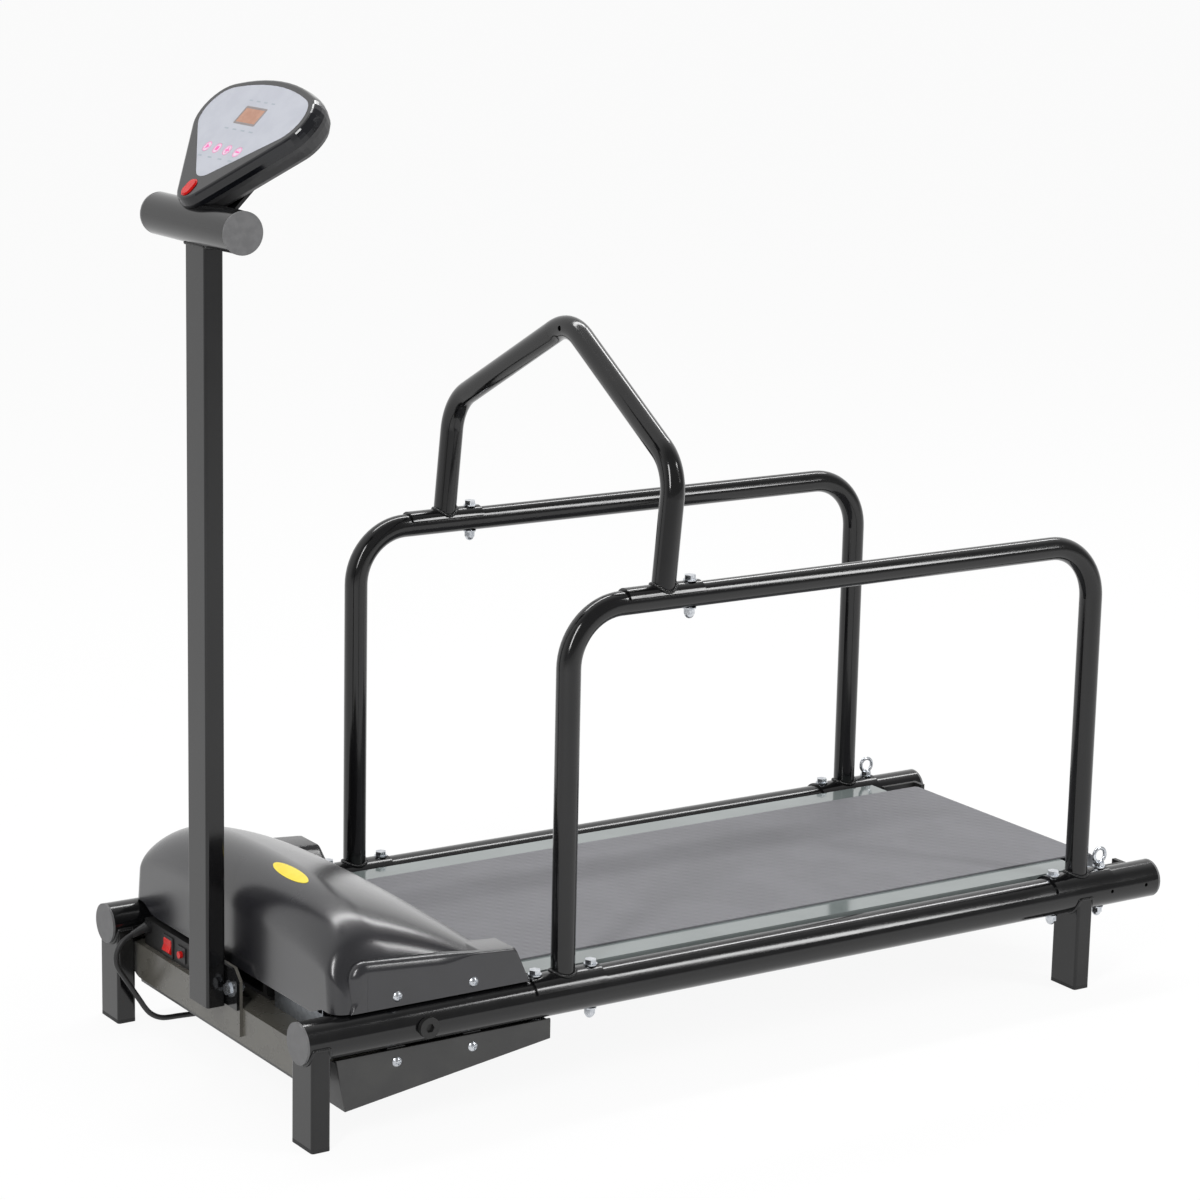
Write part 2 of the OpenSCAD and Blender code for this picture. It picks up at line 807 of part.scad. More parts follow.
module rear_roller_bearings() {
  color(cast_grey) from_front() {
    bearing(rear_roller_x, -roller_half);
    bearing(rear_roller_x, roller_half - bearing_w);
  }
}

// Ribbed pulleys: a revolved profile with one V groove per rib
module ribbed_pulley(x, z, d, bore) {
  rim = 2;
  pitch = (pulley_w - 2 * rim) / rib_count;
  ribs = [for (i = [0:rib_count - 1], k = [0:1])
    [d / 2 - k * rib_depth, rim + (i + 0.25 + k / 2) * pitch]];
  profile = concat(
    [[bore / 2, 0], [d / 2, 0], [d / 2, rim]], ribs,
    [[d / 2, pulley_w - rim], [d / 2, pulley_w], [bore / 2, pulley_w]]
  );
  translate([x, pulley_y0, z]) rotate([-90, 0, 0]) rotate_extrude() polygon(profile);
}

module roller_pulley() {
  color(cast_grey) from_front() ribbed_pulley(drive_roller_x, rail_z, roller_pulley_d, roller_d + run);
}

module motor_pulley() {
  color(cast_grey) from_front() ribbed_pulley(motor_x, motor_z, motor_pulley_d, shaft_d + run);
}

module motor_shaft() {
  color(zinc) from_front() rod_y(motor_x, motor_y1 - shaft_in, pulley_y1 + roller_side, motor_z, shaft_d);
}

module motor_body() {
  bell = 4;
  r = motor_d / 2;
  neck_r = 14;
  neck_l = 6;
  profile = [
    [0, 0], [r - bell, 0], [r, bell], [r, motor_l - bell], [r - bell, motor_l],
    [neck_r, motor_l], [neck_r, motor_l + neck_l], [0, motor_l + neck_l]
  ];
  color(satin_black) from_front() difference() {
    translate([motor_x, motor_y0, motor_z]) rotate([-90, 0, 0]) rotate_extrude() polygon(profile);
    rod_y(motor_x, motor_y1 - shaft_in - over, motor_y1 + neck_l + over, motor_z, shaft_d + 2 * run);
  }
}

// Cradle on the ledge: a base with two ribs cut to the motor
module motor_cradle() {
  base_t = 4;
  base_half = 25;
  rib_w = 10;
  rib_h = motor_z - motor_d / 4 - ledge_z;
  color(satin_black) from_front() difference() {
    union() {
      translate([motor_x - base_half, motor_y0, ledge_z]) cube([2 * base_half, motor_l, base_t]);
      for (y = [motor_y0 + rib_w, motor_y1 - 2 * rib_w])
        translate([motor_x - base_half, y, ledge_z]) cube([2 * base_half, rib_w, rib_h]);
    }
    rod_y(motor_x, motor_y0 - over, motor_y1 + over, motor_z, motor_d + 2 * seat);
  }
}

// Open drive belt round two pulleys of different size
module belt_loop(r0, r1, d) {
  a = acos((r0 - r1) / d);
  circle(r0);
  translate([d, 0]) circle(r1);
  polygon([r0 * [cos(a), sin(a)], r0 * [cos(a), -sin(a)],
           [d, 0] + r1 * [cos(a), -sin(a)], [d, 0] + r1 * [cos(a), sin(a)]]);
}

module drive_belt() {
  edge = 2;
  d = norm([motor_x - drive_roller_x, motor_z - rail_z]);
  r0 = roller_pulley_d / 2 + slip;
  r1 = motor_pulley_d / 2 + slip;
  color(rubber_black) from_front()
    translate([drive_roller_x, pulley_y1 - edge, rail_z]) rotate([90, 0, 0])
      rotate([0, 0, atan2(motor_z - rail_z, motor_x - drive_roller_x)])
        linear_extrude(pulley_w - 2 * edge) difference() {
          belt_loop(r0 + drive_belt_t, r1 + drive_belt_t, d);
          belt_loop(r0, r1, d);
        }
}

// Motor controller: closed box with a finned heat sink
module motor_controller() {
  box_d = 60;
  box_w = 120;
  box_h = 26;
  fin_h = 16;
  fin_t = 2;
  fin_n = 10;
  x0 = motor_x - box_d / 2;
  y0 = motor_y0 - 20 - box_w;
  color(cast_grey) from_front() {
    translate([x0, y0, ledge_z]) cube([box_d, box_w, box_h]);
    for (i = [0:fin_n - 1])
      translate([x0, y0 + i * (box_w - fin_t) / (fin_n - 1), ledge_z]) cube([box_d, fin_t, box_h + fin_h]);
  }
}

// Hood: one moulded shell
hood_roll_c = [hood_front_x + hood_roll_r, hood_top_z - hood_roll_r];
hood_tail = [hood_rear_x, hood_rear_z];
// The roof's arc touches the roll from outside and ends at the tail
hood_tail_d = norm(hood_tail - hood_roll_c);
hood_tail_u = (hood_tail - hood_roll_c) / hood_tail_d;
hood_roof_in = hood_roof_r - hood_roll_r;
hood_roof_a = (pow(hood_roof_in, 2) - pow(hood_roof_r, 2) + pow(hood_tail_d, 2)) / (2 * hood_tail_d);
hood_roof_h = sqrt(pow(hood_roof_in, 2) - pow(hood_roof_a, 2));
hood_roof_c = hood_roll_c + hood_roof_a * hood_tail_u + hood_roof_h * [hood_tail_u[1], -hood_tail_u[0]];
hood_roof_start = atan2(hood_roll_c[1] - hood_roof_c[1], hood_roll_c[0] - hood_roof_c[0]);
hood_roof_end = atan2(hood_tail[1] - hood_roof_c[1], hood_tail[0] - hood_roof_c[0]);
hood_shoulder = 10;
hood_dip_y = inner_half - 6;

function hood_profile() = concat(
  [[hood_front_x, hood_lip_z], [hood_front_x, (hood_lip_z + hood_roll_c[1]) / 2]],
  arc(hood_roll_c, hood_roll_r, 180, hood_roof_start, 8),
  [for (k = [1:10]) let(a = hood_roof_start + k / 10 * (hood_roof_end - hood_roof_start))
    hood_roof_c + hood_roof_r * [cos(a), sin(a)]]
);

// Point of the dome over profile point p, at the share v of the half width from -1 to 1
function hood_point(p, v, in) =
  let(
    half = hood_half - in,
    y = half * v,
    bend = max(0, abs(y) - half + hood_corner_r) / hood_corner_r,
    shift = hood_corner_r * (1 - sqrt(max(0, 1 - bend * bend))),
    span = hood_rear_x - hood_front_x,
    x = hood_rear_x - (hood_rear_x - p[0]) * (span - shift) / span,
    crown = y * y / (2 * hood_crown_r) * max(0, (p[1] - hood_rear_z) / (hood_top_z - hood_rear_z)),
    arch = pow(max(0, 1 - pow(abs(v), hood_shoulder)), 1 / hood_shoulder),
    dip = max(0, min(1, (hood_dip_y - abs(y)) / 12))
  ) [x, y, skirt_z + (p[1] - crown - skirt_z) * (p[1] < skirt_z ? dip : arch)];

// Profile point moved in by one wall, square to the face it lies on
function hood_inset(p) =
  let(
    c = p - hood_roll_c,
    rolled = atan2(c[1], c[0]) > hood_roof_start - 0.01
  )
  p[1] <= hood_roll_c[1] && p[0] < hood_roll_c[0] ? p + [cover_wall, 0]
  : rolled ? hood_roll_c + c * (1 - cover_wall / hood_roll_r)
  : hood_roof_c + (p - hood_roof_c) * (1 - cover_wall / hood_roof_r);

module hood_dome() {
  outer = hood_profile();
  inner = [for (p = outer) hood_inset(p)];
  half_n = 15;
  vs = [for (k = [-half_n:half_n]) sign(k) * pow(sin(90 * abs(k) / half_n), 2 / hood_shoulder)];
  m = len(vs);
  n = len(outer);
  top = [for (p = outer, v = vs) hood_point(p, v, 0)];
  under = [for (p = inner, v = vs) hood_point(p, v, cover_wall)];
  quads = [for (i = [0:n - 2], j = [0:m - 2]) [i * m + j, i * m + j + 1, (i + 1) * m + j + 1, (i + 1) * m + j]];
  rim = concat(
    [for (j = [0:m - 2]) [j, j + 1]],
    [for (i = [0:n - 2]) [i * m + m - 1, (i + 1) * m + m - 1]],
    [for (j = [m - 1:-1:1]) [(n - 1) * m + j, (n - 1) * m + j - 1]],
    [for (i = [n - 1:-1:1]) [i * m, (i - 1) * m]]
  );
  o = n * m;
  polyhedron(
    concat(top, under),
    concat(
      [for (q = quads) [q[0], q[1], q[2]]],
      [for (q = quads) [q[0], q[2], q[3]]],
      [for (q = quads) [o + q[0], o + q[2], o + q[1]]],
      [for (q = quads) [o + q[0], o + q[3], o + q[2]]],
      [for (e = rim) [e[1], e[0], o + e[0]]],
      [for (e = rim) [e[1], o + e[0], o + e[1]]]
    )
  );
}

// Side band that stands out from the dome, with its rounded front end and the flat ear at the rear
function band_z(x) = band_top - band_fall * (x - band_x - band_r) / (ear_end_x - band_x - band_r);

function band_outline(in) = concat(
  [[band_x + in, in > 0 ? skirt_z - over : skirt_z]],
  arc([band_x + band_r, band_top - band_r], band_r - in, 180, 90, 8),
  [[ear_end_x - in, band_z(ear_end_x) - in], [ear_end_x + ear_slant - in, in > 0 ? skirt_z - over : skirt_z]]
);

function ear_outline(in) = [
  [in > 0 ? ear_x - over : ear_x, in > 0 ? skirt_z - over : skirt_z],
  [in > 0 ? ear_x - over : ear_x, band_z(ear_x) - in],
  [ear_end_x - in, band_z(ear_end_x) - in], [ear_end_x + ear_slant - in, in > 0 ? skirt_z - over : skirt_z]
];

module side_shell(outer, inner, width) {
  difference() {
    plate_xz(outer, cover_half - width, cover_half);
    plate_xz(inner, cover_half - width - over, cover_half - cover_wall);
  }
}

module ear_shell() {
  difference() {
    plate_xz(ear_outline(0), cover_half - ear_w, cover_half);
    plate_xz(ear_outline(cover_wall), cover_half - ear_w + cover_wall, cover_half - cover_wall);
  }
}

module hood_side() {
  side_shell(band_outline(0), band_outline(cover_wall), cover_half - hood_half + cover_wall / 2);
  ear_shell();
  for (x = cover_screw_xs) rod_y(x, hood_tab_y + seat, hood_half - cover_wall / 2, cover_screw_zs[0], 2 * screw_d);
}

module motor_hood() {
  color(moulded_grey) from_front() difference() {
    union() {
      hood_dome();
      hood_side();
      mirror([0, 1, 0]) hood_side();
    }
    for (x = cover_screw_xs) rod_y(x, -rail_gauge, rail_gauge, cover_screw_zs[0], screw_d + 2 * drill);
  }
}

// Lower pan: sheet tray with slanted front and rising floor, and sides that rise to the rails
module lower_pan() {
  t = cover_wall;
  foot = [[pan_low_x, pan_low_z], [pan_rear_x, pan_rear_z]];
  outer = concat([[pan_front_x, pan_top]], foot, [[pan_rear_x, pan_top]]);
  side = concat([[pan_front_x, pan_side_top]], foot, [[pan_rear_x, pan_side_top]]);
  inner = [[pan_front_x + t, pan_top + over], [pan_low_x + t, pan_low_z + t],
           [pan_rear_x - t, pan_rear_z + t], [pan_rear_x - t, pan_top + over]];
  color(moulded_grey) from_front() difference() {
    union() {
      difference() {
        plate_xz(outer, t / 2 - cover_half, cover_half - t / 2);
        plate_xz(inner, -rail_gauge, rail_gauge);
      }
      plate_xz(side, -cover_half, t - cover_half);
      plate_xz(side, cover_half - t, cover_half);
    }
    for (x = cover_screw_xs) rod_y(x, -rail_gauge, rail_gauge, cover_screw_zs[1], screw_d + 2 * drill);
  }
}

// Flat tabs welded above and below the rails, which the covers are screwed to
module cover_tab(x, s, y, z0, z1, hole_z) {
  y0 = s > 0 ? y - tab_t : -y;
  difference() {
    translate([x - tab_w / 2, y0, z0]) cube([tab_w, tab_t, z1 - z0]);
    rod_x(x - tab_w, x + tab_w, s * side_y, rail_z, rail_d + 2 * seat);
    rod_y(x, y0 - over, y0 + tab_t + over, hole_z, screw_d + 2 * run);
  }
}

module cover_tabs() {
  hood_edge = 6;
  pan_edge = 9;
  color(gloss_black) from_front() for (s = [-1, 1], x = cover_screw_xs) {
    cover_tab(x, s, hood_tab_y, rail_z, cover_screw_zs[0] + hood_edge, cover_screw_zs[0]);
    cover_tab(x, s, pan_tab_y, cover_screw_zs[1] - pan_edge, rail_z, cover_screw_zs[1]);
  }
}

// Domed screw head with a cross recess, standing on its rim
module domed_head(d, h) {
  dome_r = (d * d / 4 + h * h) / (2 * h);
  low = asin((dome_r - h) / dome_r);
  slot = d / 7;
  difference() {
    rotate_extrude() polygon(concat([[0, 0]], arc([0, h - dome_r], dome_r, low, 90, 6)));
    for (a = [0, 90]) rotate([0, 0, a]) translate([-d / 4, -slot / 2, h / 2]) cube([d / 2, slot, h]);
  }
}

module cover_screws() {
  head_d = 13;
  head_h = 3.5;
  grips = [cover_half - hood_tab_y + tab_t, cover_half - pan_tab_y + tab_t];
  color(zinc) from_front() for (s = [-1, 1], x = cover_screw_xs, k = [0, 1])
    translate([x, s * cover_half, cover_screw_zs[k]]) rotate([-90 * s, 0, 0]) {
      domed_head(head_d, head_h);
      translate([0, 0, -grips[k]]) cylinder(d = screw_d, h = grips[k] + head_h / 4);
    }
}
// Switch panel on the ledge, with its rocker, breaker and cord gland
module switch_panel() {
  lip = 12;
  foot = 14;
  gland_hole = gland_nut_d - 5;
  color(satin_black) from_front() difference() {
    translate([panel_x, panel_y0, panel_z0]) {
      cube([panel_t, panel_y1 - panel_y0, panel_h]);
      cube([foot, panel_y1 - panel_y0, panel_t]);
      translate([0, 0, panel_h - panel_t]) cube([lip, panel_y1 - panel_y0, panel_t]);
    }
    translate([panel_x - over, switch_y - switch_body_w() / 2 - seat, switch_z - switch_body_h() / 2 - seat])
      cube([switch_body_d + 2, switch_body_w() + 2 * seat, switch_body_h() + 2 * seat]);
    translate([panel_x - over, breaker_y - breaker_in() / 2 - seat, breaker_z - breaker_in() / 2 - seat])
      cube([breaker_w + 2, breaker_in() + 2 * seat, breaker_in() + 2 * seat]);
    rod_x(panel_x - over, panel_x + panel_t + over, gland_y, gland_z, gland_hole);
  }
}

function switch_body_w() = rocker_w + 4;
function switch_body_h() = 2 * rocker_r + 2;
function breaker_in() = breaker_w - 5;

module switch_housing() {
  pin_d = 4;
  color(satin_black) from_front() difference() {
    union() {
      translate([panel_x - switch_bezel_t, switch_y - switch_bezel / 2, switch_z - switch_bezel / 2])
        cube([switch_bezel_t, switch_bezel, switch_bezel]);
      translate([panel_x - seat, switch_y - switch_body_w() / 2, switch_z - switch_body_h() / 2])
        cube([switch_body_d, switch_body_w(), switch_body_h()]);
    }
    rod_y(rocker_x, switch_y - rocker_w / 2 - slip, switch_y + rocker_w / 2 + slip, switch_z, 2 * (rocker_r + slip));
    rod_y(rocker_x, switch_y - switch_body_w() / 2 + seat, switch_y + switch_body_w() / 2 - seat, switch_z, pin_d + 2 * run);
  }
}

// Rocker: a roller cut to two faces, resting on its off side
module power_rocker() {
  pin_d = 4;
  pin_out = 1.5;
  crest = 8.5;
  half = rocker_w / 2;
  color(signal_red) from_front() translate([rocker_x, switch_y, switch_z]) rotate([0, rocker_tilt, 0]) {
    intersection() {
      rod_y(0, -half, half, 0, 2 * rocker_r);
      plate_xz([[4, -rocker_r], [4, rocker_r], [-crest, rocker_r],
                [-crest + rocker_r * tan(rocker_tilt), 0], [-crest, -rocker_r]], -half, half);
    }
    rod_y(0, -half - pin_out, half + pin_out, 0, pin_d);
  }
}

module breaker_housing() {
  depth = 24;
  color(satin_black) from_front() difference() {
    union() {
      translate([panel_x - switch_bezel_t, breaker_y - breaker_w / 2, breaker_z - breaker_w / 2])
        cube([switch_bezel_t, breaker_w, breaker_w]);
      translate([panel_x - seat, breaker_y - breaker_in() / 2, breaker_z - breaker_in() / 2])
        cube([depth, breaker_in(), breaker_in()]);
    }
    rod_x(panel_x - over - switch_bezel_t, panel_x + depth / 2, breaker_y, breaker_z, breaker_d + 2 * run);
  }
}

module breaker_button() {
  depth = 10;
  color(signal_red) from_front()
    rod_x(panel_x - switch_bezel_t - button_out, panel_x + depth - breaker_travel, breaker_y, breaker_z, breaker_d);
}

// Gland nut on the panel and a tapered boot for the lead
module cord_gland() {
  shank_l = 8;
  color(rubber_black) from_front() {
    rod_x(panel_x - gland_nut_l, panel_x, gland_y, gland_z, gland_nut_d);
    rod_x(panel_x - over, panel_x + shank_l, gland_y, gland_z, gland_nut_d - 5 - 2 * seat);
    translate(boot_start - over * boot_dir) rotate([0, -90 - boot_lean, 0])
      cylinder(r1 = boot_r, r2 = cord_r + 0.8, h = boot_l + over);
  }
}

// Tube of rings swept along points: each ring stands square to the path
function unit(v) = v / norm(v);
function heading(ps, i) = unit(ps[min(i + 1, len(ps) - 1)] - ps[max(i - 1, 0)]);
function ring(p, t, r, sides) =
  let(
    side = unit(cross(t, abs(t[2]) > 0.9 ? [0, 1, 0] : [0, 0, 1])),
    rise = cross(side, t)
  ) [for (k = [0:sides - 1]) p + r * (cos(360 * k / sides) * side + sin(360 * k / sides) * rise)];

module swept_tube(ps, ts, r, sides) {
  n = len(ps);
  rings = [for (i = [0:n - 1]) each ring(ps[i], ts[i], r, sides)];
  sides_a = [for (i = [0:n - 2], k = [0:sides - 1]) [i * sides + k, i * sides + (k + 1) % sides, (i + 1) * sides + k]];
  sides_b = [for (i = [0:n - 2], k = [0:sides - 1])
    [(i + 1) * sides + k, i * sides + (k + 1) % sides, (i + 1) * sides + (k + 1) % sides]];
  ends = [[for (k = [sides - 1:-1:0]) k], [for (k = [0:sides - 1]) (n - 1) * sides + k]];
  polyhedron(rings, concat(sides_a, sides_b, ends));
}

// Smooth curve through the route: each span is halved on a cubic through its neighbours
function spline(ps) = [
  for (i = [0:len(ps) - 2], h = [0, 0.5])
    let(a = ps[max(i - 1, 0)], b = ps[i], c = ps[i + 1], d = ps[min(i + 2, len(ps) - 1)])
    b + 0.5 * h * (c - a + h * (2 * a - 5 * b + 4 * c - d + h * (3 * (b - c) + d - a)))
];

coil_head = [coil_start[0], coil_start[1] + cord_d, cord_floor];
lead_path = concat([boot_end], spline(lead_points), [lead_points[len(lead_points) - 1]], [coil_head]);
lead_ts = [for (i = [0:len(lead_path) - 1])
  i == 0 ? boot_dir : i == len(lead_path) - 1 ? [0, -1, 0] : heading(lead_path, i)];

module power_cord() {
  sides = 8;
  color(rubber_black) from_front() swept_tube(lead_path, lead_ts, cord_r, sides);
}

// Coil point after t turns
function coil_radius(t) =
  t < coil_turns ? coil_out_r - coil_pitch * t
  : t < coil_turns + 0.5 ? coil_in_r - coil_dip * sin(360 * (t - coil_turns))
  : coil_in_r + coil_pitch * (t - coil_turns - 0.5);
function coil_rise(t) =
  let(h = max(0, min(1, (t - coil_turns) / 0.5))) coil_layer * h * h * (3 - 2 * h);
function coil_point(t) =
  [coil_c[0] - coil_radius(t) * cos(360 * t), coil_c[1] - coil_radius(t) * sin(360 * t), cord_floor + coil_rise(t)];
coil_run = [for (i = [0:coil_rings]) coil_point(i / coil_steps)];
coil_last = coil_run[len(coil_run) - 1];
coil_exit = [0, 1, 0];
coil_path = concat([coil_head], coil_run, [coil_last + cord_d * coil_exit]);
coil_ts = [for (i = [0:len(coil_path) - 1])
  i == 0 ? [0, -1, 0] : i == len(coil_path) - 1 ? coil_exit : heading(coil_path, i)];
coil_gap = min([for (i = [0:len(coil_run) - 1], j = [i + 12:1:len(coil_run) - 1]) norm(coil_run[i] - coil_run[j])]) - cord_d;
echo(coil_self_gap = coil_gap);

module cord_coil() {
  sides = 6;
  color(rubber_black) from_front() swept_tube(coil_path, coil_ts, cord_r, sides);
}

// Two-pin plug at the end of the lead, lying beside the coil
module mains_plug() {
  tail = coil_path[len(coil_path) - 1];
  neck_r = cord_r + 0.8;
  body_r = plug_d / 2;
  flat = 2 * tail[2] - 0.4;
  color(rubber_black) from_front() translate(tail) rotate([-90, 0, 0]) {
    cylinder(r1 = neck_r, r2 = neck_r + 3, h = plug_boot_l);
    intersection() {
      translate([0, 0, plug_boot_l - over]) cylinder(r1 = neck_r + 4, r2 = body_r, h = plug_l + over);
      translate([-body_r, -flat / 2, 0]) cube([2 * body_r, flat, 2 * plug_l]);
    }
    for (k = [-0.5, 0.5])
      translate([k * plug_pin_gap, 0, plug_boot_l + plug_l - over]) cylinder(d = plug_pin_d, h = plug_pin_l + over);
  }
}

// Upright post with its foot plate, coped to the handle
module upright_post() {
  color(gloss_black) from_front() difference() {
    union() {
      translate([post_x0 + post_x / 2, 0, post_foot_z]) linear_extrude(handle_z - post_foot_z)
        box_section(post_x, post_y);
      translate([post_x1, 0, plate_z0]) rotate([90, 0, 90]) linear_extrude(plate_t - seat) polygon(foot_plate(plate_h));
    }
    rod_y(handle_x, -handle_l, handle_l, handle_z, rail_d + 2 * seat);
    post_bolt_holes_clear();
  }
}

module post_bolt_holes_clear() {
  for (s = [-1, 1])
    rod_x(post_x1 - over, post_x1 + 2 * plate_t, s * post_bolt_pitch / 2, post_bolt_z, bolt_d + 2 * drill);
}

module post_bolts() {
  nut_h = 6.5;
  color(zinc) from_front() for (s = [-1, 1]) translate([0, s * post_bolt_pitch / 2, post_bolt_z]) {
    rod_x(post_x1 - washer_t, post_x1, 0, 0, washer_d + 4);
    translate([post_x1 - washer_t - bolt_head, 0, 0]) rotate([0, 90, 0])
      cylinder(d = bolt_af / cos(30), h = bolt_head, $fn = 6);
    rod_x(post_x1 - washer_t - over, apron_x + nut_h + 3, 0, 0, bolt_d);
    translate([apron_x, 0, 0]) rotate([0, 90, 0]) cylinder(d = bolt_af / cos(30), h = nut_h, $fn = 6);
  }
}

module handle_bar() {
  half = handle_l / 2 - cap_t;
  color(gloss_black) from_front() difference() {
    rod_y(handle_x, -half, half, handle_z, rail_d);
    rod_y(handle_x, -half - over, half + over, handle_z, rail_d - 2 * rail_wall);
  }
}

// Shield outline, drawn in by the amount e: top arc, corner, tip and corner in turn
function shield(tb, tr, cb, cy, cr, rise, e) =
  let(
    flat = tan(45 / outline_n),
    d = norm([cb - tb, cy]),
    psi = atan2(cy, cb - tb) + acos((tr - cr) / d),
    top_r = (rise * rise + cy * cy - cr * cr) / (2 * (rise - cr)),
    top_c = cb + rise - top_r,
    theta = atan2(cy, cb - top_c)
  ) concat(
    arc([top_c, 0], top_r - e, -theta * (1 - flat), theta * (1 - flat), outline_n),
    arc([cb, cy], cr - e, theta, psi, outline_n),
    arc([tb, 0], tr - e, psi + 2, 358 - psi, outline_n),
    arc([cb, -cy], cr - e, 360 - psi, 360 - theta, outline_n)
  );

function console_outline(e) = shield(tip_b, tip_r, corner_b, corner_y, corner_r, top_rise, e);
function overlay_outline(e) =
  shield(overlay_tip_b, overlay_tip_r, corner_b, corner_y - 4, corner_r - overlay_in + 2, top_rise - overlay_in, e);

// Solid lofted through console outlines: each level is [height, inset]
module console_loft(levels) {
  m = len(console_outline(0));
  n = len(levels);
  points = [for (l = levels, p = console_outline(l[1])) [p[0], p[1], l[0]]];
  polyhedron(points, concat(
    [[for (k = [0:m - 1]) k]],
    [for (i = [0:n - 2], k = [0:m - 1]) [i * m + k, (i + 1) * m + k, i * m + (k + 1) % m]],
    [for (i = [0:n - 2], k = [0:m - 1]) [i * m + (k + 1) % m, (i + 1) * m + k, (i + 1) * m + (k + 1) % m]],
    [[for (k = [m - 1:-1:0]) (n - 1) * m + k]]
  ));
}

// Space that the handle takes, in the console's own frame
module handle_clear(gap) {
  b = -console_up * cos(console_tilt);
  n = -console_up * sin(console_tilt);
  translate([b, -handle_l, n]) rotate([-90, 0, 0]) cylinder(d = rail_d + 2 * gap, h = 2 * handle_l);
}

module key_holes(n0, n1, gap) {
  for (y = key_ys) translate([key_row, y, n0]) cylinder(d = key_d + 2 * gap, h = n1 - n0);
}

module window_hole(n0, n1, gap) {
  translate([window_b - window_h / 2 - gap, -window_w / 2 - gap, n0])
    cube([window_h + 2 * gap, window_w + 2 * gap, n1 - n0]);
}

module oval(l, w) {
  for (k = [-1, 1]) translate([k * (l - w) / 2, 0]) circle(d = w);
  square([l - w, w], center = true);
}

module console_back_shell() {
  boss_d = 12;
  color(satin_black) on_console() difference() {
    console_loft([[shell_n, 20], [shell_n + 3, 12], [shell_n + 9, 6], [-bezel_d - 6, 1.5], [-bezel_d - seat, 0.6]]);
    difference() {
      translate([0, 0, shell_n + shell_wall]) linear_extrude(shell_d) polygon(overlay_outline(8));
      for (y = [-1, 1]) translate([console_screw_b, y * console_screw_y, shell_n]) cylinder(d = boss_d, h = 14);
    }
    for (y = [-1, 1]) translate([console_screw_b, y * console_screw_y, shell_n - over]) cylinder(d = 4.2, h = 12);
    handle_clear(slip);
  }
}

console_screw_b = 40;
console_screw_y = 22;

module console_bezel() {
  color(gloss_black) on_console() difference() {
    console_loft([[-bezel_d, 0], [-bezel_d + 6, 0], [-6, 1.2], [-2.5, 2.6], [-0.8, 4], [0, face_inset]]);
    translate([0, 0, -overlay_t]) linear_extrude(overlay_t + over) polygon(overlay_outline(0));
    translate([0, 0, -bezel_d - over]) linear_extrude(bezel_d + over - overlay_t - face_t) polygon(overlay_outline(8));
    key_holes(-bezel_d, over, slip);
    window_hole(-bezel_d, over, -2);
    translate([safety_b, 0, safety_floor]) linear_extrude(20) oval(safety_l + 2 * slip, safety_w + 2 * slip);
    translate([safety_b, 0, safety_floor - safety_stem_l - slip]) cylinder(d = safety_stem_d + 2 * slip, h = 20);
    handle_clear(slip);
  }
}

module console_overlay() {
  color(face_blue) on_console() difference() {
    translate([0, 0, seat - overlay_t]) linear_extrude(overlay_t - seat) polygon(overlay_outline(0.2));
    key_holes(-over - overlay_t, over, slip);
    window_hole(-over - overlay_t, over, seat);
  }
}

module display_window() {
  color(window_tan) on_console() window_hole(seat - overlay_t, 0, 0);
}

// Circuit board with the display block and one switch under each key
module console_board() {
  display_h = -overlay_t - face_t - seat - board_n;
  switch_w = 8;
  switch_h = -key_depth() - key_travel - seat - board_n;
  color("#2c5a3c") on_console() {
    translate([0, 0, board_n - board_t]) linear_extrude(board_t) polygon(overlay_outline(10));
    translate([window_b - window_h / 2, -window_w / 2, board_n - board_t / 2])
      cube([window_h, window_w, display_h + board_t / 2]);
    for (y = key_ys) translate([key_row - switch_w / 2, y - switch_w / 2, board_n - board_t / 2])
      cube([switch_w, switch_w, switch_h + board_t / 2]);
  }
}

function key_depth() = 7;

// Bent plate from the handle up to the back shell, with its two screws
module console_bracket() {
  bracket_half = 40;
  bracket_top = 70;
  color(gloss_black) on_console() difference() {
    translate([-34, -bracket_half, shell_n - plate_t - seat])
      cube([bracket_top + 34, 2 * bracket_half, plate_t]);
    handle_clear(seat);
    for (y = [-1, 1]) translate([console_screw_b, y * console_screw_y, shell_n - 2 * plate_t]) cylinder(d = 5, h = 20);
  }
}

// Two screws from behind the bracket into the bosses of the back shell
module console_screws() {
  head_d = 9;
  head_h = 2.6;
  shank_d = 4;
  bite = 9;
  color(zinc) on_console() for (y = [-1, 1])
    translate([console_screw_b, y * console_screw_y, shell_n - plate_t - seat]) {
      mirror([0, 0, 1]) domed_head(head_d, head_h);
      translate([0, 0, -head_h / 4]) cylinder(d = shank_d, h = head_h / 4 + plate_t + seat + bite);
    }
}

// Keys lie flush in the overlay and press straight in
module console_key(i) {
  on_console() translate([key_row, key_ys[i], -key_depth()]) cylinder(d = key_d, h = key_depth());
}

module start_key() {
  color(rose) console_key(0);
}

module mode_key() {
  color(rose) console_key(1);
}

module faster_key() {
  color(rose) console_key(2);
}

module slower_key() {
  color(rose) console_key(3);
}

module safety_key() {
  edge = 1.5;
  color(signal_red) on_console() translate([safety_b, 0, safety_floor + seat]) {
    linear_extrude(safety_rise - edge) oval(safety_l, safety_w);
    linear_extrude(safety_rise) oval(safety_l - 2 * edge, safety_w - 2 * edge);
    translate([0, 0, -safety_stem_l]) cylinder(d = safety_stem_d, h = safety_stem_l + over);
  }
}

// Bent tubes: straight runs and quarter bends of one ring section
module ring_section() {
  difference() {
    circle(d = guard_d);
    circle(d = guard_d - 2 * guard_wall);
  }
}

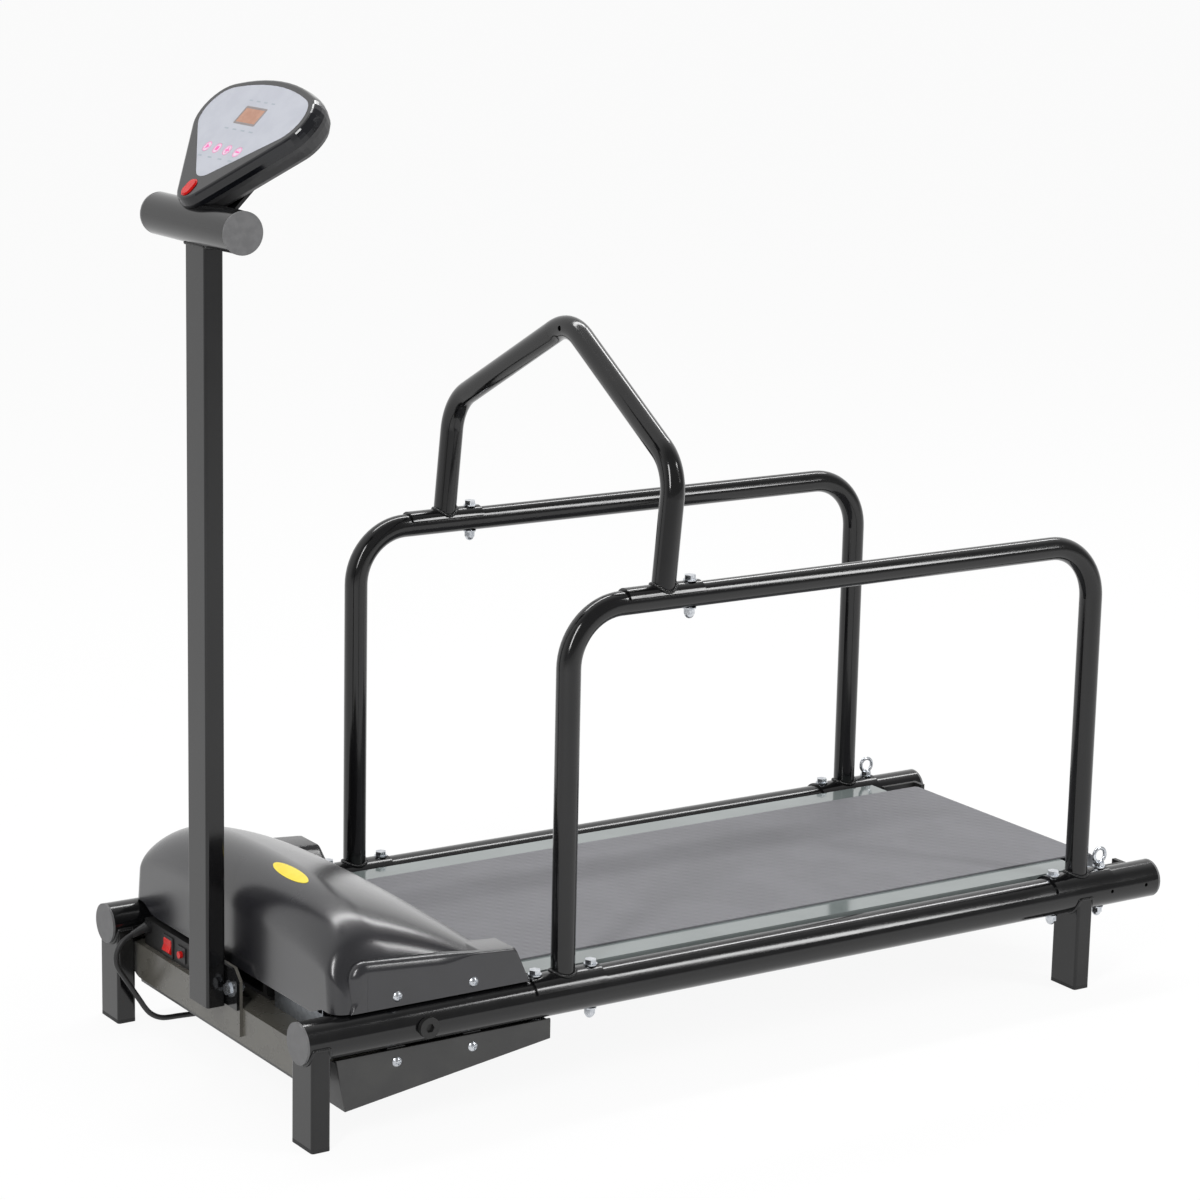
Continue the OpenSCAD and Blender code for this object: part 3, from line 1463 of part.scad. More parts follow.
module guard_tube(y) {
  x0 = guard_front_x;
  x1 = guard_rear_x;
  z1 = guard_z - guard_bend;
  for (x = guard_xs) translate([x, y, rail_z]) linear_extrude(z1 - rail_z) ring_section();
  translate([x0 + guard_bend, y, guard_z]) rotate([0, 90, 0]) linear_extrude(x1 - x0 - 2 * guard_bend) ring_section();
  translate([x0 + guard_bend, y, z1]) rotate([90, 0, 0]) rotate([0, 0, 90])
    rotate_extrude(angle = 90) translate([guard_bend, 0]) ring_section();
  translate([x1 - guard_bend, y, z1]) rotate([90, 0, 0])
    rotate_extrude(angle = 90) translate([guard_bend, 0]) ring_section();
}

// Half-round saddle plate along X on a tube of radius r
module saddle(x, y, z, r, l) {
  rotate_x_wrap = saddle_wrap / 2;
  translate([x - l / 2, y, z]) rotate([0, 90, 0]) linear_extrude(l) difference() {
    circle(r + saddle_t);
    circle(r);
    polygon([[0, 0], 3 * r * [-cos(rotate_x_wrap), sin(rotate_x_wrap)], [3 * r, 3 * r],
             [3 * r, -3 * r], 3 * r * [-cos(rotate_x_wrap), -sin(rotate_x_wrap)]]);
  }
}

module guard_rail(s) {
  y = s * side_y;
  r = rail_r + seat;
  difference() {
    union() {
      difference() {
        guard_tube(y);
        rod_x(0, rail_l, y, rail_z, 2 * r);
      }
      for (x = guard_xs) saddle(x, y, rail_z, r, saddle_l);
    }
    for (x = guard_xs, k = [-1, 1]) rod_z(x + k * bolt_off, y, rail_z, rail_top + rail_d / 2, bolt_d + 2 * drill);
    rod_z(arch_x + bolt_off, y, guard_z - guard_d, guard_z + guard_d, bolt_d + 2 * drill);
  }
}

module left_guard_rail() {
  color(gloss_black) from_front() guard_rail(-1);
}

module right_guard_rail() {
  color(gloss_black) from_front() guard_rail(1);
}

// Bolt with a washer and head above a tube and a dome nut below it
module through_bolt(x, y, z_top, z_low) {
  nut_in = 4;
  rod_z(x, y, z_low - nut_in, z_top + washer_t + over, bolt_d);
  rod_z(x, y, z_top, z_top + washer_t, washer_d);
  hex_z(x, y, z_top + washer_t, z_top + washer_t + bolt_head);
  rod_z(x, y, z_low - washer_t, z_low, washer_d);
  dome_nut(x, y, z_low - washer_t);
}

// Eye ring that stands on the rearmost bolts
module eye_ring(x, y, z) {
  wire = 5;
  eye_r = 9.5;
  translate([x, y, z + eye_r]) rotate([90, 0, 0]) rotate_extrude() translate([eye_r, 0]) circle(d = wire);
}

module guard_bolts() {
  z_top = rail_top + seat + saddle_t;
  color(zinc) from_front() for (s = [-1, 1]) {
    for (x = guard_xs, k = [-1, 1]) through_bolt(x + k * bolt_off, s * side_y, z_top, rail_low);
    eye_ring(guard_rear_x + bolt_off, s * side_y, z_top + washer_t + bolt_head);
  }
}

// House-shaped arch: two legs, two roof slopes, bends at the shoulders and apex
// A drawn bend is a touch thinner than the straight tube, and runs a little way into its wall
module bend_section() {
  difference() {
    circle(d = guard_d - 2 * run);
    circle(d = guard_d - 2 * guard_wall + 2 * run);
  }
}

module arch_turn(y, z, a0, angle) {
  lap = 1.5;
  translate([0, y, z]) rotate([90, 0, 90]) rotate([0, 0, a0 - lap])
    rotate_extrude(angle = angle + 2 * lap) translate([arch_bend, 0]) bend_section();
}

module arch_half() {
  shoulder = 90 - arch_slope;
  cut_s = arch_bend * tan(shoulder / 2);
  cut_a = arch_bend * tan(arch_slope);
  slope_l = side_y / cos(arch_slope) - cut_s - cut_a;
  leg_top = arch_eave_z - cut_s;
  translate([0, side_y, guard_z]) linear_extrude(leg_top - guard_z) ring_section();
  arch_turn(side_y - arch_bend, leg_top, 0, shoulder);
  translate([0, side_y - cut_s * cos(arch_slope), arch_eave_z + cut_s * sin(arch_slope)])
    rotate([shoulder, 0, 0]) linear_extrude(slope_l) ring_section();
}

module arch_frame() {
  arch_half();
  mirror([0, 1, 0]) arch_half();
  arch_turn(0, arch_apex_z - arch_bend / cos(arch_slope), 90 - arch_slope, 2 * arch_slope);
}

module arch_tube() {
  r = guard_r + seat;
  color(gloss_black) from_front() difference() {
    union() {
      difference() {
        translate([arch_x, 0, guard_z]) rotate([0, arch_lean, 0]) translate([0, 0, -guard_z]) arch_frame();
        for (s = [-1, 1]) rod_x(arch_x - guard_d, arch_x + guard_d, s * side_y, guard_z, 2 * r + saddle_t);
      }
      for (s = [-1, 1]) saddle(arch_saddle_x, s * side_y, guard_z, r, arch_saddle_l);
    }
    for (s = [-1, 1]) rod_z(arch_x + bolt_off, s * side_y, guard_z, guard_z + guard_d, bolt_d + 2 * drill);
    rod_x(leash_x - guard_d, leash_x + guard_d, 0, leash_z, leash_d);
  }
}

module arch_bolts() {
  color(zinc) from_front() for (s = [-1, 1])
    through_bolt(arch_x + bolt_off, s * side_y, guard_z + guard_r + seat + saddle_t, guard_z - guard_r);
}

left_side_rail();
right_side_rail();
tube_end_caps();
front_legs();
rear_legs();
leg_feet();
front_apron();
deck_cross_tubes();
deck_cushions();
deck_board();
running_belt();
front_axle();
axle_bolts();
drive_roller();
drive_roller_bearings();
roller_pulley();
rear_axle();
rear_axle_brackets();
tension_bolts();
rear_roller();
rear_roller_bearings();
motor_body();
motor_cradle();
motor_shaft();
motor_pulley();
drive_belt();
motor_controller();
motor_hood();
lower_pan();
cover_tabs();
cover_screws();
switch_panel();
switch_housing();
power_rocker();
breaker_housing();
breaker_button();
cord_gland();
power_cord();
cord_coil();
mains_plug();
upright_post();
post_bolts();
handle_bar();
console_back_shell();
console_bezel();
console_overlay();
display_window();
console_board();
console_bracket();
console_screws();
start_key();
mode_key();
faster_key();
slower_key();
safety_key();
left_guard_rail();
right_guard_rail();
guard_bolts();
arch_tube();
arch_bolts();
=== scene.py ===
"""Looks of a dog treadmill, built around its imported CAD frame.

The frame's nodes keep their shape and get finishes. Surfaces worked out with numpy stand for the mains lead
and the moulded motor hood, which are finer than their solids show, and add the coil's tie, the disc on the
hood, the print on the console and the weld beads.
"""

import logging
import math
from dataclasses import dataclass
from enum import Enum
from typing import Any, Dict, List, Optional, Sequence, Tuple

import bmesh
import bpy
import numpy as np
from mathutils import Matrix, Vector


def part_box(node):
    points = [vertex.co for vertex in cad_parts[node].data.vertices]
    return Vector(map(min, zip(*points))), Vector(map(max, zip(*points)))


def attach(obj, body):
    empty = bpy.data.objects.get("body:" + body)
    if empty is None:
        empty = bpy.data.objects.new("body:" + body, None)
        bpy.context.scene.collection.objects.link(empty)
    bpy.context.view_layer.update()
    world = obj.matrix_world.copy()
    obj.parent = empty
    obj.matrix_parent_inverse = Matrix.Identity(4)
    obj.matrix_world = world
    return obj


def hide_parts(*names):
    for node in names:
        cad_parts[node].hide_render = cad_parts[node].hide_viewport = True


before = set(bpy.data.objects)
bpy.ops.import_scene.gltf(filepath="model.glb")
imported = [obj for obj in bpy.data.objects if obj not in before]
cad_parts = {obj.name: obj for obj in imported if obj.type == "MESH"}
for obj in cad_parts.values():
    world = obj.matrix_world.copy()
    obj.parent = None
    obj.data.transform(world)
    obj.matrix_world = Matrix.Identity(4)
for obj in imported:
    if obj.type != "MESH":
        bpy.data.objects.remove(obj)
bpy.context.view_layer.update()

LOG = logging.getLogger("dog_treadmill")
MM = 0.001
BODY = "frame"
# Signs of Y on the two sides
SIDES = (1.0, -1.0)

Array = np.ndarray
Pair = Tuple[float, float]
Point = Tuple[float, float, float]
Colour = Tuple[float, float, float, float]

WHITE: Colour = (1.0, 1.0, 1.0, 1.0)
# Points closer than this become one point, and faces thinner than the second value go, in metres
MERGE = 1e-6
SLIVER = 1e-7


def linear(code: str) -> Colour:
    """Turns an sRGB hex colour into linear light.

    Args:
        code: Six hex digits, red first.

    Returns:
        Linear red, green and blue, and an alpha of one.
    """
    s = np.array([int(code[i:i + 2], 16) for i in (0, 2, 4)]) / 255
    rgb = np.where(s <= 0.04045, s / 12.92, ((s + 0.055) / 1.055) ** 2.4)
    return (float(rgb[0]), float(rgb[1]), float(rgb[2]), 1.0)


def per_mm(size: float) -> float:
    """Texture scale whose features measure a size in millimetres, on coordinates in metres."""
    return 1 / (size * MM)


def add(tree: bpy.types.NodeTree, kind: str, settings: Optional[Dict[str, Any]] = None,
        inputs: Optional[Dict[Any, Any]] = None) -> bpy.types.Node:
    """Adds a shader node, with its settings and its inputs.

    Args:
        tree: The material's or the world's node tree.
        kind: The node's type after its ShaderNode prefix.
        settings: Attributes to set on the node.
        inputs: Values by input name or index; a socket is linked, anything else is set.

    Returns:
        The new node.
    """
    node = tree.nodes.new("ShaderNode" + kind)
    for key, value in (settings or {}).items():
        setattr(node, key, value)
    for key, value in (inputs or {}).items():
        if isinstance(value, bpy.types.NodeSocket):
            tree.links.new(value, node.inputs[key])
        else:
            node.inputs[key].default_value = value
    return node


class Relief(Enum):
    """Kinds of fine relief that a finish can carry."""

    PEEL = "orange peel of a baked powder coat"
    GRAIN = "fine even grain of a mould"
    TURNED = "fine rings or streaks left by turning and drawing"
    DIAMOND = "embossed diamonds of treadmill belting"


# Detail and roughness of the noise behind each relief that is made from noise
RELIEF_NOISE: Dict[Relief, Pair] = {
    Relief.PEEL: (1.0, 0.5),
    Relief.GRAIN: (2.0, 0.5),
    Relief.TURNED: (3.0, 0.6),
}
# Turned streaks change along Y at this share of their pace across it
STREAK_PULL = 0.06
# Turn of the belting's two sets of ribs, in degrees
RIB_TURN = 35.0
# Radians that Blender's wave texture runs through in a unit of length, at a scale of one
WAVE_RATE = 20.0
# Detail and roughness of the noise behind the clouds
CLOUD_NOISE = (4.0, 0.6)
# Shares of that noise between which colour and gloss change
TINT_SPAN = (0.35, 0.65)
GLOSS_SPAN = (0.3, 0.7)


@dataclass(frozen=True)
class Finish:
    """A finish: what the surface is made of and how it was made.

    Attributes:
        name: Material name.
        colour: Main colour, sRGB hex.
        shade: Second colour that shows in soft clouds.
        rough: Lowest and highest roughness.
        cloud_mm: Size of the colour clouds.
        relief: Kind of fine relief.
        relief_mm: Size of one feature of the relief.
        depth_mm: Height of the relief.
        metallic: One for bare metal.
        ior: Refractive index, for anything but metal.
        coat: Weight of a clear gloss layer.
        coat_rough: Roughness of that layer.
    """

    name: str
    colour: str
    shade: str
    rough: Pair
    cloud_mm: float
    relief: Relief
    relief_mm: float
    depth_mm: float
    metallic: float = 0.0
    ior: float = 1.5
    coat: float = 0.0
    coat_rough: float = 0.05

    def height(self, tree: bpy.types.NodeTree, place: bpy.types.NodeSocket) -> bpy.types.NodeSocket:
        """Adds the nodes of the relief.

        Args:
            tree: The material's node tree.
            place: Object coordinates.

        Returns:
            Height of the relief, from about zero to one.
        """
        scale = per_mm(self.relief_mm)
        if self.relief is Relief.DIAMOND:
            waves = []
            for side in SIDES:
                spun = add(tree, "Mapping", {"vector_type": "TEXTURE"},
                           {"Vector": place, "Rotation": (0, 0, side * math.radians(RIB_TURN))})
                wave = add(tree, "TexWave",
                           {"wave_type": "BANDS", "bands_direction": "X", "wave_profile": "SIN"},
                           {"Vector": spun.outputs["Vector"], "Scale": scale / WAVE_RATE * math.pi,
                            "Distortion": 0.0})
                waves.append(wave.outputs["Fac"])
            return add(tree, "Math", {"operation": "MULTIPLY"}, {0: waves[0], 1: waves[1]}).outputs[0]
        if self.relief is Relief.TURNED:
            pulled = add(tree, "Mapping", {}, {"Vector": place, "Scale": (1.0, STREAK_PULL, 1.0)})
            place = pulled.outputs["Vector"]
        detail, rough = RELIEF_NOISE[self.relief]
        return add(tree, "TexNoise", {}, {"Vector": place, "Scale": scale, "Detail": detail,
                                          "Roughness": rough}).outputs["Fac"]

    def material(self) -> bpy.types.Material:
        """Builds the material: clouds of two colours, uneven gloss and a fine relief.

        Returns:
            The material, which is made only once.
        """
        made = bpy.data.materials.get(self.name)
        if made:
            return made
        made = bpy.data.materials.new(self.name)
        made.use_nodes = True
        tree = made.node_tree
        shader = tree.nodes["Principled BSDF"]
        place = add(tree, "TexCoord").outputs["Object"]
        detail, rough = CLOUD_NOISE
        cloud = add(tree, "TexNoise", {}, {"Vector": place, "Scale": per_mm(self.cloud_mm), "Detail": detail,
                                           "Roughness": rough}).outputs["Fac"]
        spread = add(tree, "MapRange", {"interpolation_type": "SMOOTHSTEP"},
                     {0: cloud, 1: TINT_SPAN[0], 2: TINT_SPAN[1], 3: 0.0, 4: 1.0}).outputs[0]
        tint = add(tree, "Mix", {"data_type": "RGBA"},
                   {0: spread, 6: linear(self.colour), 7: linear(self.shade)})
        gloss = add(tree, "MapRange", {},
                    {0: cloud, 1: GLOSS_SPAN[0], 2: GLOSS_SPAN[1], 3: self.rough[0], 4: self.rough[1]})
        bump = add(tree, "Bump", {}, {"Height": self.height(tree, place), "Strength": 1.0,
                                      "Distance": self.depth_mm * MM})
        tree.links.new(tint.outputs[2], shader.inputs["Base Color"])
        tree.links.new(gloss.outputs[0], shader.inputs["Roughness"])
        tree.links.new(bump.outputs["Normal"], shader.inputs["Normal"])
        shader.inputs["Metallic"].default_value = self.metallic
        if not self.metallic:
            shader.inputs["IOR"].default_value = self.ior
        shader.inputs["Coat Weight"].default_value = self.coat
        shader.inputs["Coat Roughness"].default_value = self.coat_rough
        return made


# Gloss black powder coat on steel tube: near black, with a wide faint ripple that breaks up long highlights
GLOSS_PAINT = Finish("gloss_black_powder_coat", "0a0a0b", "0e0e0f", (0.1, 0.16), 60, Relief.PEEL, 4.0, 0.004)
# Satin black paint on the folded apron under the hood's lip; its warm grey colour, lighter than the tubes, is
# painted reflection and painted light where the lip shades it
APRON_PAINTED_REFLECTION = Finish("black_paint_with_painted_reflection", "54524c", "5b5953", (0.24, 0.32), 60, Relief.PEEL, 2.5, 0.015)
# Satin black paint on pressed sheet and motor parts: duller than the tubes
SATIN_PAINT = Finish("satin_black_paint", "141415", "1b1b1c", (0.42, 0.55), 40, Relief.PEEL, 2.0, 0.02)
# Bright zinc on steel fasteners: light, slightly blue, with a soft cloudy gloss
ZINC = Finish("bright_zinc_plated_steel", "d5d8dc", "b4b8be", (0.2, 0.34), 6, Relief.GRAIN, 0.8, 0.01,
              metallic=1.0)
# Drawn and ground steel of rollers and axles: streaked along the lathe's travel
TURNED_STEEL = Finish("turned_steel", "b9bcc0", "9da1a6", (0.25, 0.4), 14, Relief.TURNED, 0.6, 0.01,
                      metallic=1.0)
# Die-cast and machined aluminium of pulleys and the heat sink: greyer and duller than the steel
CAST_ALUMINIUM = Finish("machined_cast_aluminium", "a9adb2", "8f9398", (0.35, 0.5), 10, Relief.TURNED, 0.8,
                        0.015, metallic=1.0)
# Glossy moulded ABS of the hood: dark grey with a broad soft shine
HOOD_ABS = Finish("glossy_moulded_abs", "1d1d20", "222226", (0.24, 0.28), 90, Relief.GRAIN, 1.6, 0.0015,
                  ior=1.53, coat=0.45, coat_rough=0.2)
# Satin paint on the folded pan under the motor: dark grey, with a soft shine
PAN_PAINT = Finish("satin_grey_pan_paint", "333333", "3a3a39", (0.35, 0.45), 60, Relief.PEEL, 2.5, 0.02)
# Moulded polyethylene end caps: mid grey and matte
CAP_PLASTIC = Finish("matte_grey_polyethylene", "5d5d5e", "666667", (0.5, 0.62), 12, Relief.GRAIN, 0.7, 0.03)
# Vulcanised rubber of feet, cushions, the ribbed belt and the coil's tie: black without a shine
RUBBER = Finish("vulcanised_black_rubber", "1b1b1c", "232324", (0.62, 0.78), 10, Relief.GRAIN, 0.6, 0.03)
# Extruded PVC jacket of the lead: black with a low sheen
CORD_PVC = Finish("extruded_black_pvc_jacket", "161617", "1d1d1e", (0.38, 0.5), 8, Relief.GRAIN, 0.5, 0.02)
# Treadmill belting: grey PVC with an embossed diamond, drawn twice as coarse as the real one so that it shows
BELTING = Finish("embossed_grey_pvc_belting", "6b6b6f", "747478", (0.55, 0.68), 90, Relief.DIAMOND, 7.0, 0.5)
# Phenolic laminate of the deck: green-grey and polished, so it mirrors what stands beside it; its colour is
# lighter than the board's own, as painted reflection of the white surround
LAMINATE_WITH_PAINTED_REFLECTION = Finish("phenolic_laminate_with_painted_reflection", "707877", "78807f", (0.06, 0.12), 120, Relief.PEEL, 9.0,
                  0.006, ior=1.8)
# Moulded nylon of the switch and breaker bodies: black with a dull sheen
NYLON = Finish("moulded_black_nylon", "1a1a1b", "212122", (0.4, 0.52), 9, Relief.GRAIN, 0.5, 0.02)
# Red polycarbonate of the rocker, breaker button and safety key: bright, with a clear highlight
RED_PC = Finish("moulded_red_polycarbonate", "cf1a17", "c01412", (0.24, 0.34), 9, Relief.GRAIN, 0.8, 0.006,
                ior=1.42)
# Textured ABS of the console's back shell: soft black, with highlights that the grain breaks up
SHELL_ABS = Finish("textured_black_abs", "2c2c2d", "333334", (0.38, 0.5), 30, Relief.GRAIN, 0.9, 0.03)
# Polished ABS of the console's rim: black with sharp highlights
RIM_ABS = Finish("polished_black_abs", "0c0d10", "121317", (0.1, 0.16), 40, Relief.GRAIN, 2.0, 0.004)
# Printed polycarbonate film of the console face: pale blue-grey, silky
FACE_FILM = Finish("silky_printed_film", "b0b3bd", "b7bac3", (0.3, 0.4), 30, Relief.GRAIN, 0.5, 0.004)
# Smoked film over the display: warm brown and smooth
WINDOW_FILM = Finish("smoked_display_film", "a8755a", "b5846a", (0.12, 0.2), 18, Relief.GRAIN, 0.8, 0.002)
# Film domes of the keys: pale rose and silky
KEY_FILM = Finish("rose_film_dome", "d9c3d6", "e3cddd", (0.25, 0.35), 6, Relief.GRAIN, 0.5, 0.004)
# Printing inks, duller than the film: rose on the keys, grey on the face, brown-grey round the window
ROSE_INK = Finish("rose_printing_ink", "f268b4", "ee58ab", (0.35, 0.45), 4, Relief.GRAIN, 0.5, 0.003)
GREY_INK = Finish("grey_printing_ink", "9aa3ad", "a3acb5", (0.4, 0.5), 4, Relief.GRAIN, 0.5, 0.003)
DARK_INK = Finish("dark_frame_ink", "7c7473", "857c7b", (0.3, 0.4), 6, Relief.GRAIN, 0.5, 0.003)
# Solder mask on the circuit board: dark green with a soft shine
BOARD = Finish("green_solder_mask", "1f5a36", "276440", (0.3, 0.45), 5, Relief.GRAIN, 0.6, 0.02)
# Plain vinyl of the disc on the hood: even yellow with a soft shine
YELLOW_VINYL = Finish("plain_yellow_vinyl", "f2dc3c", "eed534", (0.3, 0.38), 14, Relief.GRAIN, 0.6, 0.004)

NODE_FINISH: Dict[Finish, Tuple[str, ...]] = {
    GLOSS_PAINT: ("left_side_rail", "right_side_rail", "front_legs", "rear_legs", "cover_tabs",
                  "upright_post", "handle_bar", "console_bracket", "left_guard_rail",
                  "right_guard_rail", "arch_tube"),
    SATIN_PAINT: ("deck_cross_tubes", "rear_axle_brackets", "motor_body", "motor_cradle", "switch_panel",
                  "axle_bolts"),
    ZINC: ("tension_bolts", "cover_screws", "console_screws", "post_bolts", "guard_bolts", "arch_bolts"),
    TURNED_STEEL: ("front_axle", "rear_axle", "drive_roller", "rear_roller", "motor_shaft",
                   "drive_roller_bearings", "rear_roller_bearings"),
    CAST_ALUMINIUM: ("roller_pulley", "motor_pulley", "motor_controller"),
    HOOD_ABS: ("motor_hood",),
    # The apron's light warm grey is painted reflection and painted light under the hood's lip
    APRON_PAINTED_REFLECTION: ("front_apron",),
    PAN_PAINT: ("lower_pan",),
    CAP_PLASTIC: ("tube_end_caps",),
    RUBBER: ("leg_feet", "deck_cushions", "drive_belt"),
    CORD_PVC: ("cord_gland", "power_cord", "cord_coil", "mains_plug"),
    BELTING: ("running_belt",),
    # The deck's colour is partly its own green-grey and partly painted reflection
    LAMINATE_WITH_PAINTED_REFLECTION: ("deck_board",),
    NYLON: ("switch_housing", "breaker_housing"),
    RED_PC: ("power_rocker", "breaker_button", "safety_key"),
    SHELL_ABS: ("console_back_shell",),
    RIM_ABS: ("console_bezel",),
    FACE_FILM: ("console_overlay",),
    WINDOW_FILM: ("display_window",),
    KEY_FILM: ("start_key", "mode_key", "faster_key", "slower_key"),
    BOARD: ("console_board",),
}


def dress_nodes() -> None:
    """Gives every CAD node its finish."""
    for finish, nodes in NODE_FINISH.items():
        for node in nodes:
            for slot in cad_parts[node].material_slots:
                slot.material = finish.material()


@dataclass
class Patch:
    """A grid of points, with the directions in which it closes on itself.

    Attributes:
        points: Rows by columns by three coordinates, in metres.
        wrap_rows: The last row joins the first.
        wrap_cols: The last column joins the first.
    """

    points: Array
    wrap_rows: bool = False
    wrap_cols: bool = False

    def faces(self, start: int) -> Array:
        """Numbers the quads of the grid.

        Args:
            start: Number of the patch's first point.

        Returns:
            One row of four point numbers for each quad.
        """
        rows, cols = self.points.shape[:2]
        i, j = np.meshgrid(np.arange(rows if self.wrap_rows else rows - 1),
                           np.arange(cols if self.wrap_cols else cols - 1), indexing="ij")
        below, beside = (i + 1) % rows * cols, (j + 1) % cols
        quads = np.stack([i * cols + j, i * cols + beside, below + beside, below + j], -1)
        return quads.reshape(-1, 4) + start


def piece(name: str, patches: Sequence[Patch], finish: Finish, body: str = BODY,
          crease: float = 40) -> bpy.types.Object:
    """Makes one object from grids of points and lets it ride on a body.

    Points that coincide are merged, which closes seams and poles, and the faces are turned outwards.

    Args:
        name: Object name.
        patches: Grids of points.
        finish: The object's finish.
        body: CAD body that carries the piece.
        crease: Edges that turn by more than this angle stay sharp, in degrees.

    Returns:
        The object.
    """
    starts = np.cumsum([0] + [p.points.shape[0] * p.points.shape[1] for p in patches])
    points = np.concatenate([p.points.reshape(-1, 3) for p in patches])
    faces = np.concatenate([p.faces(int(s)) for p, s in zip(patches, starts)])
    mesh = bpy.data.meshes.new(name)
    mesh.from_pydata(points.tolist(), [], faces.tolist())
    work = bmesh.new()
    work.from_mesh(mesh)
    bmesh.ops.remove_doubles(work, verts=work.verts, dist=MERGE)
    bmesh.ops.dissolve_degenerate(work, edges=work.edges, dist=SLIVER)
    bmesh.ops.recalc_face_normals(work, faces=work.faces)
    work.to_mesh(mesh)
    work.free()
    mesh.polygons.foreach_set("use_smooth", np.ones(len(mesh.polygons), bool))
    mesh.set_sharp_from_angle(angle=math.radians(crease))
    mesh.materials.append(finish.material())
    made = bpy.data.objects.new(name, mesh)
    bpy.context.scene.collection.objects.link(made)
    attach(made, body)
    LOG.info("%s: %d faces on %s", name, len(mesh.polygons), body)
    return made


def unit(v: Array) -> Array:
    """Vectors of length one along the last axis."""
    return v / np.linalg.norm(v, axis=-1, keepdims=True)


def headings(path: Array) -> Array:
    """Directions of a path at its points, from each point's two neighbours."""
    return unit(np.gradient(path, axis=0))


def inward(line: Array) -> Array:
    """Directions square to a flat line, to the right of its run."""
    ahead = headings(line)
    return np.stack([ahead[:, 1], -ahead[:, 0]], -1)


def run_along(path: Array) -> Array:
    """Distance along a path at each of its points."""
    return np.concatenate([[0], np.cumsum(np.linalg.norm(np.diff(path, axis=0), axis=1))])


def smooth(t: Array) -> Array:
    """Smooth step of a share: 3 t**2 - 2 t**3, with the share held between zero and one."""
    t = np.clip(t, 0, 1)
    return t * t * (3 - 2 * t)


def angles(count: int) -> Array:
    """Equal steps round a circle, in radians."""
    return np.linspace(0, 2 * math.pi, count, endpoint=False)


def rings(path: Array, radius: Array, sides: int, side: Array, rise: Array) -> Array:
    """Rings of points round a path.

    Point (i, k) is path[i] + radius[i] * (cos a * side[i] + sin a * rise[i]), with a = 2 pi k / sides.

    Args:
        path: Points of the centreline.
        radius: Radius at each point.
        sides: Points around.
        side: Directions square to the path.
        rise: Directions square to both.

    Returns:
        A grid with one ring for each point.
    """
    a = angles(sides)[None, :, None]
    return path[:, None] + radius[:, None, None] * (np.cos(a) * side[:, None] + np.sin(a) * rise[:, None])


def tube(path: Array, radius: Array, sides: int, across: Array) -> Patch:
    """Round tube along a path: rings round it, and a flat fan of faces at each end.

    Args:
        path: Points of the centreline.
        radius: Radius at each point.
        sides: Points around.
        across: One vector, or one for each point, that the path never runs along.

    Returns:
        A closed grid.
    """
    ahead = headings(path)
    side = unit(np.cross(ahead, np.broadcast_to(across, ahead.shape)))
    first, last = (np.repeat(path[None, [end]], sides, 1) for end in (0, -1))
    return Patch(np.concatenate([first, rings(path, radius, sides, side, np.cross(side, ahead)), last]),
                 wrap_cols=True)


def arc(centre: Sequence[float], radius: float, start: float, end: float, count: int) -> Array:
    """Points of a flat arc between two angles in degrees."""
    a = np.radians(np.linspace(start, end, count))
    return np.stack([centre[0] + radius * np.cos(a), centre[1] + radius * np.sin(a)], -1)


def rounded(half: Pair, corner: float, count: int = 6) -> Array:
    """Rounded rectangle about the origin: a quarter arc at each corner.

    Args:
        half: Half its size each way.
        corner: Radius of its corners.
        count: Points of each corner.

    Returns:
        Points in order round it.
    """
    u, v = half[0] - corner, half[1] - corner
    middles = ((u, v), (-u, v), (-u, -v), (u, -v))
    return np.vstack([arc(m, corner, 90 * k, 90 * k + 90, count) for k, m in enumerate(middles)])


RAIL_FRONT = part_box("left_side_rail")[0].x / MM


def setback(points: Array) -> Array:
    """Points in the frame's metres, from points in millimetres behind the rails' front ends."""
    return (np.asarray(points, float) + (RAIL_FRONT, 0, 0)) * MM


@dataclass
class PhotoCamera:
    """Camera that stands where the photograph was taken.

    Attributes:
        place: Where it stands, in metres.
        azimuth: Turn about the vertical, in degrees; zero looks along +Y.
        elevation: Height above the horizon, in degrees.
        roll: Turn about the line of sight, in degrees.
        focal: Focal length in pixels of a frame as wide as the next field.
        width: Width of the photograph, in pixels.
        sensor: Width of the sensor, in millimetres.
        clip: Nearest and farthest distance that it sees, in metres.
    """

    place: Point = (-2.4958, -3.6593, 1.5467)
    azimuth: float = -33.55
    elevation: float = 12.90
    roll: float = 1.246
    focal: float = 3529.7
    width: float = 1200.0
    sensor: float = 36.0
    clip: Pair = (0.05, 200.0)

    def build(self) -> None:
        """Makes the camera and gives it to the scene."""
        a, e, t = (math.radians(x) for x in (self.azimuth, self.elevation, self.roll))
        back = Vector((math.sin(a) * math.cos(e), -math.cos(a) * math.cos(e), math.sin(e)))
        right = Vector((0, 0, 1)).cross(back).normalized()
        up = back.cross(right)
        level = right * math.cos(t) + up * math.sin(t)
        upright = up * math.cos(t) - right * math.sin(t)
        lens = bpy.data.cameras.new("photo_camera")
        lens.sensor_width = self.sensor
        lens.lens = self.sensor * self.focal / self.width
        lens.clip_start, lens.clip_end = self.clip
        made = bpy.data.objects.new("photo_camera", lens)
        turn = Matrix((level, upright, back)).transposed().to_4x4()
        made.matrix_world = Matrix.Translation(self.place) @ turn
        bpy.context.scene.collection.objects.link(made)
        bpy.context.scene.camera = made


